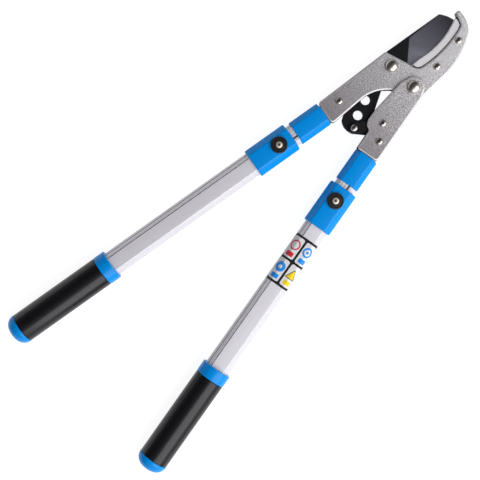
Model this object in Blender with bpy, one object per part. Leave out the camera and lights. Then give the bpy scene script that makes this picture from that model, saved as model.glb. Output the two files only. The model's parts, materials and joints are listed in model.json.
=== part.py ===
"""Telescopic anvil loppers with a compound linkage, lying flat, jaws towards +X.

The origin is under the middle of the whole tool, on the plane that it lies on,
and +Z points up out of the flat of the plates. Every length is in millimetres
and every angle in degrees; MM turns them into metres where a mesh is made.

Head coordinates are (x, y) from the point midway between the two pivots.
Handle coordinates run from a pivot out along the handle: x along it, z up.
"""

from math import atan2, cos, degrees, hypot, pi, radians, sin, tan

import bmesh
import bpy
from mathutils import Vector
from mathutils.geometry import delaunay_2d_cdt

MM = 0.001
GAP = 0.3  # running clearance left between neighbouring pieces

# Places of the whole tool
PIVOT_MIDDLE = (231.6, 0.44)
MID_HEIGHT = 17.4

# Pivots and fixings, in head coordinates
BLADE_PIVOT = (0.0, 19.0)
MAIN_PIVOT = (0.0, -19.0)
LEVER_JOINT = (-87.6, -2.4)
LINK_JOINT = (-59.0, -23.5)
TANG_SCREW_A = (-77.0, 34.5)
TANG_SCREW_B = (-78.0, -36.3)
ANVIL_SCREW_HEEL = (39.3, -21.4)
ANVIL_SCREW_TIP = (81.1, -17.6)
BLADE_HOLES = ((-72.5, 5.7), (-52.5, 12.4))
BLADE_HOLE_RADIUS = 6.0
LINK_END_RADIUS = 6.6
SPACER_RADIUS = 9.0

# Stack of layers, as heights from the mid-plane
BLADE_HALF = 2.2
EDGE_HALF = 0.35
JAW_LOW, JAW_HIGH = 2.5, 5.5
LINK_LOW, LINK_HIGH = 2.5, 5.2
ARM_LOW, ARM_HIGH = 5.8, 8.8

# Fasteners
PIVOT_SIDES, SCREW_SIDES = 20, 12
HEAD_SIDES = 14
HEAD_EDGE = 0.12  # share of a domed head's height that is its straight edge
PIVOT_SHANK = 4.0
PIVOT_HEAD = 8.4
PIVOT_DOME = 6.0
SCREW_SHANK = 2.3
SCREW_HEAD = 4.5
SCREW_DOME = 3.0
PIVOT_NUT = (8.0, 5.0)
SCREW_NUT = (4.9, 3.0)
LINK_PLAY = 1.4  # extra radius of the link's hole at the arm, where the linkage is open
BUSH_WALL = 2.0
SCREW_END = 0.8  # how far a screw shows through its nut

# Handles: angle to the centre line, and places along the handle from its pivot
HANDLE_ANGLE = 9.75
AXIS_OFFSET = {"a": 0.6, "b": 1.5}  # the tubes run this much outside the pivot
TANG_START = 73.0
COLLAR_START = 103.0
COLLAR_END = 146.1
LOWER_START = 152.5
BUTTON_PLACE = 171.8
LOWER_END = 211.2
LABEL_START = 230.2
LABEL_END = 298.2
RING_START = 426.5
GRIP_START = 442.4
GRIP_END = 564.4
CAP_END = 579.4
CAP_DOME = ((0.3, 1.0), (0.58, 0.95), (0.8, 0.82), (0.94, 0.6), (1.0, 0.3))  # share along, size
LABEL_LIFT = (0.15, 0.4)  # the film's two faces, above the tube
INNER_TUBE_END = 530.0
OUTER_TUBE_END = 560.0

# Sections across the handle: width, height, top flat, side flat
INNER_TUBE = (27.4, 17.0, 16.6, 7.2)
OUTER_TUBE = (31.4, 20.8, 17.8, 7.8)
UPPER_COLLAR = (31.6, 21.2, 18.2, 8.0)
LOWER_COLLAR = (37.4, 27.4, 21.6, 11.4)
GRIP_OVAL = (38.4, 34.2)
RING_OVAL = (39.0, 34.8)
INNER_WALL = 1.8
OUTER_WALL = 1.6
COLLAR_WALL = 3.0
TONGUE_WIDTH = 18.0
TONGUE_THICK = {"a": 4.4, "b": 11.0}
TONGUE_CHAMFER = 0.5
TANG_END = COLLAR_END - 6.0
SPIGOT_LENGTH = 16.0  # of the slide bush and of the end cap, inside their tubes
SLIDE_FLANGE = 8.0
GROOVE_PLACE, GROOVE_WIDTH, GROOVE_DEPTH = 3.6, 2.2, 1.0

# Length lock: radii from the button's axis, and heights from the mid-plane
TRAVEL = 300.0
DETENTS = 7
TRACK_HALF = 1.5
DETENT_RADIUS = 2.4
TRACK_CUT = (4.5, 9.5)
NECK_CUT = (7.0, 12.0)
POCKET_TOP = 16.0
BUTTON_RADIUS = 10.25
BUTTON_LOW, BUTTON_HIGH = 13.05, 17.0
BUTTON_EDGE = 0.8
BUTTON_BORE = 1.3
SPRING_ROOM = (3.9, 8.4)
SPRING_ROOM_TOP = 15.4
HUB_LOW = 14.3
RING_GROOVE = (5.8, 7.4)
RING_SLOPE, RING_DEPTH = 0.4, 0.5
DISH_RADIUS, DISH_FLOOR = 4.7, 16.1
BUTTON_SCREW = (1.0, 4.2, 16.4, 13.6, 1.4)  # shank, head, under the head, tip, dome
NECK_RADIUS = 1.25
LATCH_RADIUS = 2.0
LATCH_LOW, LATCH_HIGH = 4.3, 6.3
PIN_HEAD = (3.4, 13.05, 14.0)  # radius, low, high
PIN_SOCKET_FLOOR = 13.3
SPRING_TURNS, SPRING_STEPS = 3, 12
SPRING_RADIUS, WIRE_RADIUS, WIRE_SIDES = 6.2, 0.45, 6

FINISHES = {
    "plate_steel": ((0.42, 0.41, 0.42), 0.45, 0.9),
    "blade_coating": ((0.012, 0.012, 0.016), 0.35, 0.3),
    "anvil_metal": ((0.62, 0.61, 0.63), 0.4, 0.8),
    "chrome": ((0.75, 0.73, 0.70), 0.12, 1.0),
    "cast_metal": ((0.33, 0.33, 0.34), 0.5, 0.9),
    "bronze": ((0.45, 0.30, 0.12), 0.4, 0.9),
    "blue_plastic": ((0.0, 0.22, 0.78), 0.28, 0.0),
    "tube_aluminium": ((0.60, 0.59, 0.61), 0.35, 0.9),
    "black_plastic": ((0.012, 0.011, 0.011), 0.4, 0.0),
    "grip_rubber": ((0.010, 0.010, 0.011), 0.6, 0.0),
    "spring_steel": ((0.5, 0.5, 0.5), 0.3, 1.0),
    "label_film": ((0.85, 0.84, 0.84), 0.4, 0.0),
}


def clear_scene():
    for thing in list(bpy.data.objects):
        bpy.data.objects.remove(thing, do_unlink=True)


def make_finish(name, colour, roughness, metallic):
    material = bpy.data.materials.new(name)
    material.use_nodes = True
    shader = material.node_tree.nodes["Principled BSDF"]
    shader.inputs["Base Color"].default_value = (*colour, 1.0)
    shader.inputs["Roughness"].default_value = roughness
    shader.inputs["Metallic"].default_value = metallic
    material.diffuse_color = (*colour, 1.0)
    return material


def make_seat(name, place, turn=0.0, parent=None):
    """An empty at a joint or a datum, for the pieces that belong to it."""
    seat = bpy.data.objects.new(name, None)
    bpy.context.collection.objects.link(seat)
    seat.location = Vector(place) * MM
    seat.rotation_euler.z = radians(turn)
    seat.parent = parent
    return seat


# Outlines, as lists of (x, y)


def arc(centre, radius, start, end, steps):
    """Points of an arc round a centre, from one angle to another."""
    angles = [radians(start + (end - start) * i / steps) for i in range(steps + 1)]
    return [(centre[0] + radius * cos(a), centre[1] + radius * sin(a)) for a in angles]


def circle(centre, radius, sides):
    return arc(centre, radius, 0, 360 - 360 / sides, sides - 1)


def bow(first, middle, last, steps):
    """Points of the circular arc that runs from first through middle to last."""
    (ax, ay), (bx, by), (cx, cy) = first, middle, last
    d = 2 * (ax * (by - cy) + bx * (cy - ay) + cx * (ay - by))
    a2, b2, c2 = ax * ax + ay * ay, bx * bx + by * by, cx * cx + cy * cy
    ux = (a2 * (by - cy) + b2 * (cy - ay) + c2 * (ay - by)) / d
    uy = (a2 * (cx - bx) + b2 * (ax - cx) + c2 * (bx - ax)) / d
    start = degrees(atan2(ay - uy, ax - ux))
    via = (degrees(atan2(by - uy, bx - ux)) - start) % 360
    sweep = (degrees(atan2(cy - uy, cx - ux)) - start) % 360
    if via > sweep:
        sweep -= 360
    return arc((ux, uy), hypot(ax - ux, ay - uy), start, start + sweep, steps)


def rounded(corners, steps=3):
    """The outline through the corners; a corner's third number rounds it."""
    points = []
    for i, corner in enumerate(corners):
        here = Vector(corner[:2])
        if len(corner) == 2:
            points.append(tuple(here))
            continue
        before = (Vector(corners[i - 1][:2]) - here).normalized()
        after = (Vector(corners[(i + 1) % len(corners)][:2]) - here).normalized()
        half = before.angle(after) / 2
        centre = here + (before + after).normalized() * corner[2] / sin(half)
        reach = corner[2] / tan(half)
        first, last = here + before * reach - centre, here + after * reach - centre
        turn = pi - 2 * half
        for k in range(steps + 1):
            f = k / steps
            spoke = (first * sin((1 - f) * turn) + last * sin(f * turn)) / sin(turn)
            points.append(tuple(centre + spoke))
    return points


# Sections across a handle, as lists of (y, z)


def octagon(width, height, flat, side):
    """A flattened section with eight faces, from the top flat's +y corner."""
    w, h, f, s = width / 2, height / 2, flat / 2, side / 2
    return [(f, h), (w, s), (w, -s), (f, -h), (-f, -h), (-w, -s), (-w, s), (-f, h)]


def grown(section, by):
    """The octagon's sizes moved outwards by a distance; negative moves inwards."""
    width, height, flat, side = section
    slant = by * 0.8
    return (width + 2 * by, height + 2 * by, flat + slant, side + slant)


def spread(section, parts):
    """The section with each edge cut into equal parts."""
    points = []
    for i, (y, z) in enumerate(section):
        ny, nz = section[(i + 1) % len(section)]
        points += [(y + (ny - y) * k / parts, z + (nz - z) * k / parts) for k in range(parts)]
    return points


def oval(width, height, like):
    """An ellipse with one point beside each point of another section."""
    angles = [atan2(z * width, y * height) for y, z in like]
    return [(width / 2 * cos(a), height / 2 * sin(a)) for a in angles]


def across(x, section):
    """A section placed across the handle at x."""
    return [(x, y, z) for y, z in section]


# Solids


def finish_mesh(name, mesh, seat, finish):
    """Turns a bmesh in millimetres into a named object on its seat."""
    bmesh.ops.recalc_face_normals(mesh, faces=mesh.faces)
    bmesh.ops.scale(mesh, vec=(MM, MM, MM), verts=mesh.verts)
    data = bpy.data.meshes.new(name)
    mesh.to_mesh(data)
    mesh.free()
    data.shade_smooth()
    data.set_sharp_from_angle(angle=radians(28))
    thing = bpy.data.objects.new(name, data)
    bpy.context.collection.objects.link(thing)
    thing.parent = seat
    if finish:
        data.materials.append(MATERIALS[finish])
    return thing


def slab(name, seat, finish, outline, span, holes=(), creases=()):
    """A flat piece with round holes (x, y, radius, sides).

    span is (low, high), or a function that gives them at a point, and creases
    are edges between outline points or further points that the faces bend on.
    """
    points = [Vector(p) for p in outline]
    loops = [list(range(len(points)))]
    for x, y, radius, sides in holes:
        loops.append(list(range(len(points), len(points) + sides)))
        points += [Vector(p) for p in circle((x, y), radius, sides)]
    edges = []
    for crease in creases:
        edges += [(len(points) + i, len(points) + i + 1) for i in range(len(crease) - 1)]
        points += [Vector(p) for p in crease]
    flat, _, triangles, _, _, _ = delaunay_2d_cdt(points, edges, loops, 1, 0.001)
    spans = [span(p) if callable(span) else span for p in flat]
    mesh = bmesh.new()
    low = [mesh.verts.new((p.x, p.y, s[0])) for p, s in zip(flat, spans)]
    high = [mesh.verts.new((p.x, p.y, s[1])) for p, s in zip(flat, spans)]
    for triangle in triangles:
        middle = sum((flat[i] for i in triangle), Vector((0, 0))) / 3
        if any(hypot(middle.x - x, middle.y - y) < radius for x, y, radius, _ in holes):
            continue
        mesh.faces.new([high[i] for i in triangle])
        mesh.faces.new([low[i] for i in reversed(triangle)])
    place = {vert: i for i, vert in enumerate(high)}
    rims = [edge for edge in mesh.edges if edge.is_boundary and edge.verts[0] in place]
    for edge in rims:
        i, j = place[edge.verts[0]], place[edge.verts[1]]
        mesh.faces.new((high[i], high[j], low[j], low[i]))
    bmesh.ops.delete(mesh, geom=[v for v in mesh.verts if not v.link_faces], context="VERTS")
    return finish_mesh(name, mesh, seat, finish)


def skin(name, seat, finish, rings, ring_shaped=False):
    """A solid through rings of points: capped at both ends, or closed on itself."""
    mesh = bmesh.new()
    rows = [[mesh.verts.new(p) for p in ring] for ring in rings]
    pairs = list(zip(rows, rows[1:]))
    if ring_shaped:
        pairs.append((rows[-1], rows[0]))
    else:
        mesh.faces.new(rows[0])
        mesh.faces.new(rows[-1])
    for first, second in pairs:
        for i in range(len(first)):
            j = (i + 1) % len(first)
            mesh.faces.new((first[i], first[j], second[j], second[i]))
    return finish_mesh(name, mesh, seat, finish)


def turned(name, seat, finish, profile, sides, place=(0, 0), ring_shaped=False):
    """A round solid on a vertical axis, from a profile of (radius, height)."""
    rings = [[(x, y, z) for x, y in circle(place, r, sides)] for r, z in profile]
    return skin(name, seat, finish, rings, ring_shaped)


def cut(thing, cutter):
    """Takes a cutter away from a piece, and hides the cutter."""
    cutter.hide_render = True
    cutter.display_type = "WIRE"
    boolean = thing.modifiers.new("Cut", "BOOLEAN")
    boolean.operation = "DIFFERENCE"
    boolean.solver = "EXACT"
    boolean.object = cutter


def near(point, seat_point):
    """A head coordinate as seen from a seat."""
    return (point[0] - seat_point[0], point[1] - seat_point[1])


def moved(outline, seat_point):
    return [near(p, seat_point) for p in outline]


def hole(point, seat_point, radius, sides):
    x, y = near(point, seat_point)
    return (x, y, radius, sides)


# Fasteners


def dome_screw(name, seat, place, shank, head, base, tip, dome):
    """A screw with a domed head standing on base and its shank down to tip."""
    edge = base + dome * HEAD_EDGE
    profile = [(shank, tip), (shank, base), (head, base), (head, edge)]
    for angle in (25, 50, 72):
        a = radians(angle)
        profile.append((head * cos(a), edge + (base + dome - edge) * sin(a)))
    return turned(name, seat, "chrome", profile, HEAD_SIDES, place)


def hex_nut(name, seat, place, size, shank, top):
    """A nut hanging down from top round a shank."""
    radius, height = size
    ring = (place[0], place[1], shank + GAP, SCREW_SIDES)
    return slab(name, seat, "chrome", circle(place, radius, 6), (top - height, top), [ring])


def bolted(names, seat, place, size, layer, nut_size):
    """A domed screw and its nut through plates whose outer faces are at layer."""
    shank, head, dome = size
    base = layer + GAP
    nut_low = -base - nut_size[1]
    dome_screw(names[0], seat, place, shank, head, base, nut_low - SCREW_END, dome)
    hex_nut(names[1], seat, place, nut_size, shank, -base)


# Head


def jaw_outline():
    lower = bow((-57.4, 16.7), (-36.5, 10.9), (-19.7, -3.7), 5)
    jaw = bow((99.0, -1.6), (97.9, -4.4), (95.6, -6.6), 2)
    jaw += bow((92.5, -7.6), (60.5, -11.8), (25.0, -8.3), 9)[:-1]
    jaw += bow((25.0, -8.3), (20.8, -4.7), (18.0, 1.5), 4)
    hook = bow((42.0, -36.2), (74.0, -30.6), (97.5, -19.4), 6)
    hook += bow((97.5, -19.4), (105.6, -8.0), (108.4, 4.6), 5)[1:]
    hook += bow((108.4, 4.6), (106.8, 9.4), (102.9, 8.2), 4)[1:]
    tail = [(7.4, 37.2, 3), (-94.6, 51.2, 2.5), (-99.3, 45.5, 2.5), (-103.7, 20.4, 5)]
    heel = [(-14.0, -22.0), (-4.0, -35.2)]
    return rounded([*tail, *lower, *heel, *hook, *jaw, (16.8, 7.5)])


def arm_outline():
    pivot_end = arc(MAIN_PIVOT, 13.9, -66, 62, 10)
    upper = [(-6.7, -2.9, 4), (-53, -4.8), (-68, -7, 6), (-74.6, -10.8, 4), (-77.2, -17.4, 2.8)]
    lower = [(-103.4, -22.3, 3.5), (-98.1, -52.6, 5), (-2.7, -35.4)]
    return rounded([*pivot_end, *upper, *lower])


def cutting_edge(drop=0.0):
    """The blade's long cutting curve from its heel to its tip."""
    curve = bow((33.4, 0.3), (65.2, -2.6), (97.1, 4.9), 10)
    return [(x, y - drop) for x, y in [(19.6, 2.0), *curve]]


BLADE_CORNER = (89.4, 22.9)
BLADE_TIP_Y = 4.9


def blade_outline():
    edge = cutting_edge()
    back = [(95.2, 11.6), (*BLADE_CORNER, 2.5), (3.0, 37.4, 6), (-14, 31, 10)]
    tail = [(-84.0, 19.0, 7), (-90.8, 15.9)]
    end = bow((-90.8, 15.9), (-95.7, 3.4), (-92.2, -7.4), 6)[1:]
    lower = [(-82.6, -19.2, 2.5), (-30, 6.6), (-25, 8.0, 3), (-12, 3.5, 6), (10, 2.2)]
    corners = [edge[-1], *back, *tail, *end, *lower, edge[0]]
    return rounded(corners)[:-1] + edge[:-1]


def blade_span(point):
    """Full thickness, thinning across the ground bevel to the cutting edge."""
    x, y = point[0] + BLADE_PIVOT[0], point[1] + BLADE_PIVOT[1]
    half = BLADE_HALF
    if x > 18.5 and y < BLADE_TIP_Y + 0.1:
        half = EDGE_HALF
    elif x > BLADE_CORNER[0] + 0.5:
        rise = (y - BLADE_TIP_Y) / (BLADE_CORNER[1] - BLADE_TIP_Y)
        half = EDGE_HALF + (BLADE_HALF - EDGE_HALF) * min(rise, 1)
    return (-half, half)


def anvil_outline():
    """The strip that the blade closes on, and the root clamped between the jaws."""
    top = cutting_edge(GAP + 0.1)
    tip = [(97.9, 4.8), (102.7, 5.6, 1.5), (104.5, -4.5, 4)]
    root = [(96, -17.5, 6), (70, -27.5), (46, -31.5), (26, -28, 5), (16.5, -8), (16.6, 1.2, 1)]
    return rounded([*tip, *root]) + top[:-1]


def link_outline():
    """A strip with round ends between the lever's joint and the arm's."""
    turn = degrees(atan2(LINK_JOINT[1] - LEVER_JOINT[1], LINK_JOINT[0] - LEVER_JOINT[0]))
    far = arc(LINK_JOINT, LINK_END_RADIUS, turn - 90, turn + 90, 8)
    return far + arc(LEVER_JOINT, LINK_END_RADIUS, turn + 90, turn + 270, 8)


def holes_at(points, seat_point, pivots=()):
    """Clearance holes for the pivot bolts and for the screws in a plate."""
    made = [hole(p, seat_point, PIVOT_SHANK + GAP, PIVOT_SIDES) for p in pivots]
    return made + [hole(p, seat_point, SCREW_SHANK + GAP, SCREW_SIDES) for p in points]


def make_plates(head, link_seat, arm_seat):
    jaw_screws = (TANG_SCREW_A, ANVIL_SCREW_HEEL, ANVIL_SCREW_TIP)
    jaw_holes = holes_at(jaw_screws, (0, 0), (BLADE_PIVOT, MAIN_PIVOT))
    arm_holes = holes_at((LINK_JOINT, TANG_SCREW_B), MAIN_PIVOT, (MAIN_PIVOT,))
    link_holes = holes_at((LEVER_JOINT,), LEVER_JOINT)
    link_holes += [hole(LINK_JOINT, LEVER_JOINT, SCREW_SHANK + GAP + LINK_PLAY, 16)]
    arm, link = moved(arm_outline(), MAIN_PIVOT), moved(link_outline(), LEVER_JOINT)
    for side, sign in (("front", 1), ("rear", -1)):
        jaw_span = tuple(sorted((sign * JAW_LOW, sign * JAW_HIGH)))
        arm_span = tuple(sorted((sign * ARM_LOW, sign * ARM_HIGH)))
        link_span = tuple(sorted((sign * LINK_LOW, sign * LINK_HIGH)))
        slab(f"jaw_plate_{side}", head, "plate_steel", jaw_outline(), jaw_span, jaw_holes)
        slab(f"arm_plate_{side}", arm_seat, "plate_steel", arm, arm_span, arm_holes)
        slab(f"link_plate_{side}", link_seat, "blade_coating", link, link_span, link_holes)


def make_blade(seat):
    """The blade with its ground bevel, and the bush that it turns on."""
    bush_radius = PIVOT_SHANK + GAP + BUSH_WALL
    holes = [hole(BLADE_PIVOT, BLADE_PIVOT, bush_radius + GAP, PIVOT_SIDES)]
    holes += holes_at((LEVER_JOINT,), BLADE_PIVOT)
    holes += [hole(p, BLADE_PIVOT, BLADE_HOLE_RADIUS, PIVOT_SIDES) for p in BLADE_HOLES]
    bevel = [(17.0, 2.07), (17.9, 8.4), (32.8, 21.3), (41.1, 28.2), (78.0, 24.3), (88.8, 22.2)]
    shape = moved(blade_outline(), BLADE_PIVOT)
    crease = [moved(bevel, BLADE_PIVOT)]
    slab("blade", seat, "blade_coating", shape, blade_span, holes, crease)
    bore = (0, 0, PIVOT_SHANK + GAP, PIVOT_SIDES)
    ring = circle((0, 0), bush_radius, PIVOT_SIDES)
    slab("blade_bush", seat, "bronze", ring, (-BLADE_HALF, BLADE_HALF), [bore])


def make_inner_pieces(head):
    """The anvil between the jaw plates, and the spacer round the main pivot."""
    span = (-BLADE_HALF, BLADE_HALF)
    holes = holes_at((ANVIL_SCREW_HEEL, ANVIL_SCREW_TIP), (0, 0))
    slab("anvil", head, "anvil_metal", anvil_outline(), span, holes)
    ring = circle(MAIN_PIVOT, SPACER_RADIUS, PIVOT_SIDES)
    slab("pivot_spacer", head, "bronze", ring, span, holes_at((), (0, 0), (MAIN_PIVOT,)))


def make_head_fasteners(head, blade_seat, arm_seat):
    pivot = (PIVOT_SHANK, PIVOT_HEAD, PIVOT_DOME)
    screw = (SCREW_SHANK, SCREW_HEAD, SCREW_DOME)
    bolted(("blade_pivot_bolt", "blade_pivot_nut"), head, BLADE_PIVOT, pivot, JAW_HIGH, PIVOT_NUT)
    bolted(("main_pivot_bolt", "main_pivot_nut"), head, MAIN_PIVOT, pivot, ARM_HIGH, PIVOT_NUT)
    for end, point in (("heel", ANVIL_SCREW_HEEL), ("tip", ANVIL_SCREW_TIP)):
        bolted((f"anvil_screw_{end}", f"anvil_nut_{end}"), head, point, screw, JAW_HIGH, SCREW_NUT)
    bolted(("tang_screw_a", "tang_nut_a"), head, TANG_SCREW_A, screw, JAW_HIGH, SCREW_NUT)
    tang, link = near(TANG_SCREW_B, MAIN_PIVOT), near(LINK_JOINT, MAIN_PIVOT)
    bolted(("tang_screw_b", "tang_nut_b"), arm_seat, tang, screw, ARM_HIGH, SCREW_NUT)
    bolted(("link_screw", "link_nut"), arm_seat, link, screw, ARM_HIGH, SCREW_NUT)
    lever = near(LEVER_JOINT, BLADE_PIVOT)
    bolted(("lever_screw", "lever_nut"), blade_seat, lever, screw, LINK_HIGH, SCREW_NUT)


# Handles


def sleeve(name, seat, finish, outer, inner, start, end):
    """A plain tube along the handle."""
    rings = [across(start, outer), across(end, outer), across(end, inner), across(start, inner)]
    return skin(name, seat, finish, rings, ring_shaped=True)


def stepped_sleeve(name, seat, finish, outer, mouth, inner, start, step, end):
    """A tube whose head end is partly closed, down to the mouth section."""
    rings = [across(start, outer), across(end, outer), across(end, inner)]
    rings += [across(step, inner), across(step, mouth), across(start, mouth)]
    return skin(name, seat, finish, rings, ring_shaped=True)


def grooved(section):
    """The inner tube's outer section with its key groove in the top flat."""
    top = section[0][1]
    low, high = GROOVE_PLACE - GROOVE_WIDTH / 2, GROOVE_PLACE + GROOVE_WIDTH / 2
    floor = top - GROOVE_DEPTH
    return [*section, (low, top), (low, floor), (high, floor), (high, top)]


def track_outline():
    """The slot that the lock's neck slides in, with a round stop at each length."""
    upper = []
    bulge = degrees(atan2(TRACK_HALF, (DETENT_RADIUS**2 - TRACK_HALF**2) ** 0.5))
    for i in range(DETENTS):
        centre = (BUTTON_PLACE + TRAVEL * i / (DETENTS - 1), 0)
        first = 180 if i == 0 else 180 - bulge
        last = 0 if i == DETENTS - 1 else bulge
        upper += arc(centre, DETENT_RADIUS, first, last, 4)
    lower = [(x, -y) for x, y in reversed(upper[1:-1])]
    return upper + lower


def make_inner_tube(letter, seat):
    outer = grooved(octagon(*INNER_TUBE))
    bore = grown(INNER_TUBE, -INNER_WALL)
    inner = octagon(*bore)
    (right, top), (left, _) = inner[0], inner[-1]
    inner += [(right + (left - right) * share, top) for share in (0.7, 0.55, 0.4, 0.25)]
    start = COLLAR_START + COLLAR_WALL + GAP
    name = f"inner_tube_{letter}"
    tube = sleeve(name, seat, "tube_aluminium", outer, inner, start, INNER_TUBE_END)
    track = slab(f"track_cutter_{letter}", seat, None, track_outline(), TRACK_CUT)
    cut(tube, track)
    flange = octagon(*INNER_TUBE)
    plug = octagon(*grown(INNER_TUBE, -INNER_WALL - GAP))
    end = INNER_TUBE_END
    rings = [across(end - SPIGOT_LENGTH, plug), across(end + GAP, plug)]
    rings += [across(end + GAP, flange), across(end + SLIDE_FLANGE, flange)]
    skin(f"slide_bush_{letter}", seat, "black_plastic", rings)
    return plug


def make_tang(letter, seat, plug, screw):
    size = (TONGUE_WIDTH, TONGUE_THICK[letter])
    tongue = octagon(*size, *(length - 2 * TONGUE_CHAMFER for length in size))
    plug_start = COLLAR_START + COLLAR_WALL + GAP
    rings = [across(TANG_START, tongue), across(plug_start, tongue)]
    rings += [across(plug_start, plug), across(TANG_END, plug)]
    tang = skin(f"tang_{letter}", seat, "cast_metal", rings)
    drill = circle(screw, SCREW_SHANK + GAP, SCREW_SIDES)
    reach = TONGUE_WIDTH / 2
    cut(tang, slab(f"tang_cutter_{letter}", seat, None, drill, (-reach, reach)))


def make_collars(letter, seat, slide_seat):
    wide = octagon(*grown(INNER_TUBE, GAP))
    slot = [TONGUE_WIDTH + 2 * GAP, TONGUE_THICK[letter] + 2 * GAP]
    slot = octagon(*slot, *(length - 2 * TONGUE_CHAMFER for length in slot))
    outer = octagon(*UPPER_COLLAR)
    step = COLLAR_START + COLLAR_WALL
    name = f"upper_collar_{letter}"
    stepped_sleeve(name, seat, "blue_plastic", outer, slot, wide, COLLAR_START, step, COLLAR_END)
    outer, bore = octagon(*LOWER_COLLAR), octagon(*grown(OUTER_TUBE, GAP))
    step = LOWER_START + COLLAR_WALL
    name = f"lower_collar_{letter}"
    collar = stepped_sleeve(
        name, slide_seat, "blue_plastic", outer, wide, bore, LOWER_START, step, LOWER_END
    )
    pocket = circle((BUTTON_PLACE, 0), BUTTON_RADIUS + GAP, 24)
    pocket_low = OUTER_TUBE[1] / 2 + GAP / 2
    pocket_span = (pocket_low, POCKET_TOP)
    cut(collar, slab(f"pocket_cutter_{letter}", slide_seat, None, pocket, pocket_span))


def make_grip(letter, seat):
    tube_outer, tube_inner = octagon(*OUTER_TUBE), octagon(*grown(OUTER_TUBE, -OUTER_WALL))
    start = LOWER_START + COLLAR_WALL + GAP
    name = f"outer_tube_{letter}"
    tube = sleeve(name, seat, "tube_aluminium", tube_outer, tube_inner, start, OUTER_TUBE_END)
    neck = circle((BUTTON_PLACE, 0), NECK_RADIUS + 2 * GAP, SCREW_SIDES)
    cut(tube, slab(f"neck_cutter_{letter}", seat, None, neck, NECK_CUT))
    bore = spread(octagon(*grown(OUTER_TUBE, GAP)), 2)
    ring, grip = oval(*RING_OVAL, bore), oval(*GRIP_OVAL, bore)
    ring_end = GRIP_START - GAP
    sleeve(f"grip_ring_{letter}", seat, "blue_plastic", ring, bore, RING_START, ring_end)
    sleeve(f"grip_{letter}", seat, "grip_rubber", grip, bore, GRIP_START, GRIP_END)
    spigot = spread(octagon(*grown(OUTER_TUBE, -OUTER_WALL - GAP)), 2)
    base, length = GRIP_END + GAP, CAP_END - GRIP_END - GAP
    rings = [across(base - SPIGOT_LENGTH, spigot), across(base, spigot), across(base, ring)]
    for along, size in CAP_DOME:
        dome = [(y * size, z * size) for y, z in ring]
        rings.append(across(base + along * length, dome))
    skin(f"end_cap_{letter}", seat, "blue_plastic", rings)


def make_button(letter, seat):
    """The lock button, its screw and its latch pin, round a vertical axis."""
    hub, rim = SPRING_ROOM
    outer, low, high = BUTTON_RADIUS, BUTTON_LOW, BUTTON_HIGH
    near_ring, far_ring = RING_GROOVE
    profile = [(BUTTON_BORE, HUB_LOW), (hub, HUB_LOW), (hub, SPRING_ROOM_TOP)]
    profile += [(rim, SPRING_ROOM_TOP), (rim, low), (outer, low)]
    profile += [(outer, high - BUTTON_EDGE), (outer - BUTTON_EDGE, high), (far_ring, high)]
    floor = high - RING_DEPTH
    profile += [(far_ring - RING_SLOPE, floor), (near_ring + RING_SLOPE, floor)]
    profile += [(near_ring, high), (DISH_RADIUS, high), (DISH_RADIUS, DISH_FLOOR)]
    profile += [(BUTTON_BORE, DISH_FLOOR)]
    turned(f"button_{letter}", seat, "black_plastic", profile, PIVOT_SIDES, ring_shaped=True)
    dome_screw(f"button_screw_{letter}", seat, (0, 0), *BUTTON_SCREW)
    head, head_low, head_high = PIN_HEAD
    profile = [(LATCH_RADIUS, LATCH_LOW), (LATCH_RADIUS, LATCH_HIGH), (NECK_RADIUS, LATCH_HIGH)]
    profile += [(NECK_RADIUS, head_low), (head, head_low), (head, head_high)]
    profile += [(BUTTON_BORE, head_high), (BUTTON_BORE, PIN_SOCKET_FLOOR)]
    turned(f"lock_pin_{letter}", seat, "chrome", profile, SCREW_SIDES)


def make_spring(letter, seat):
    """A coil between the outer tube and the button's ceiling."""
    base = OUTER_TUBE[1] / 2 + GAP + WIRE_RADIUS
    rise = SPRING_ROOM_TOP - GAP - WIRE_RADIUS - base
    steps = SPRING_TURNS * SPRING_STEPS
    wire = circle((SPRING_RADIUS, 0), WIRE_RADIUS, WIRE_SIDES)
    rings = []
    for i in range(steps + 1):
        angle, height = radians(360 * i / SPRING_STEPS), base + rise * i / steps
        rings.append([(r * cos(angle), r * sin(angle), height + z) for r, z in wire])
    skin(f"button_spring_{letter}", seat, "spring_steel", rings)


def make_label(seat):
    """A film stuck over the top three faces of the outer tube."""
    under, over = (octagon(*grown(OUTER_TUBE, lift)) for lift in LABEL_LIFT)
    section = [under[-2], under[-1], under[0], under[1], over[1], over[0], over[-1], over[-2]]
    skin("label_b", seat, "label_film", [across(LABEL_START, section), across(LABEL_END, section)])


def make_handle(letter, side, pivot, pivot_seat):
    """One handle: fixed tube and tang, then the sliding grip and its lock."""
    offset = side * AXIS_OFFSET[letter]
    line = make_seat(f"handle_{letter}_line", (0, -offset, 0), parent=pivot_seat)
    plug = make_inner_tube(letter, line)
    screw = TANG_SCREW_A if letter == "a" else TANG_SCREW_B
    away = Vector(near(screw, pivot))
    along = Vector((-cos(radians(HANDLE_ANGLE)), side * sin(radians(HANDLE_ANGLE))))
    across_line = Vector((-along.y, along.x))
    place = (away.dot(along), away.dot(across_line) + offset)
    make_tang(letter, line, plug, place)
    slide = make_seat(f"slide_{letter}_line", (0, 0, 0), parent=line)
    make_collars(letter, line, slide)
    make_grip(letter, slide)
    button = make_seat(f"button_{letter}_axis", (BUTTON_PLACE, 0, 0), parent=slide)
    make_button(letter, button)
    make_spring(letter, button)
    return slide


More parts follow.
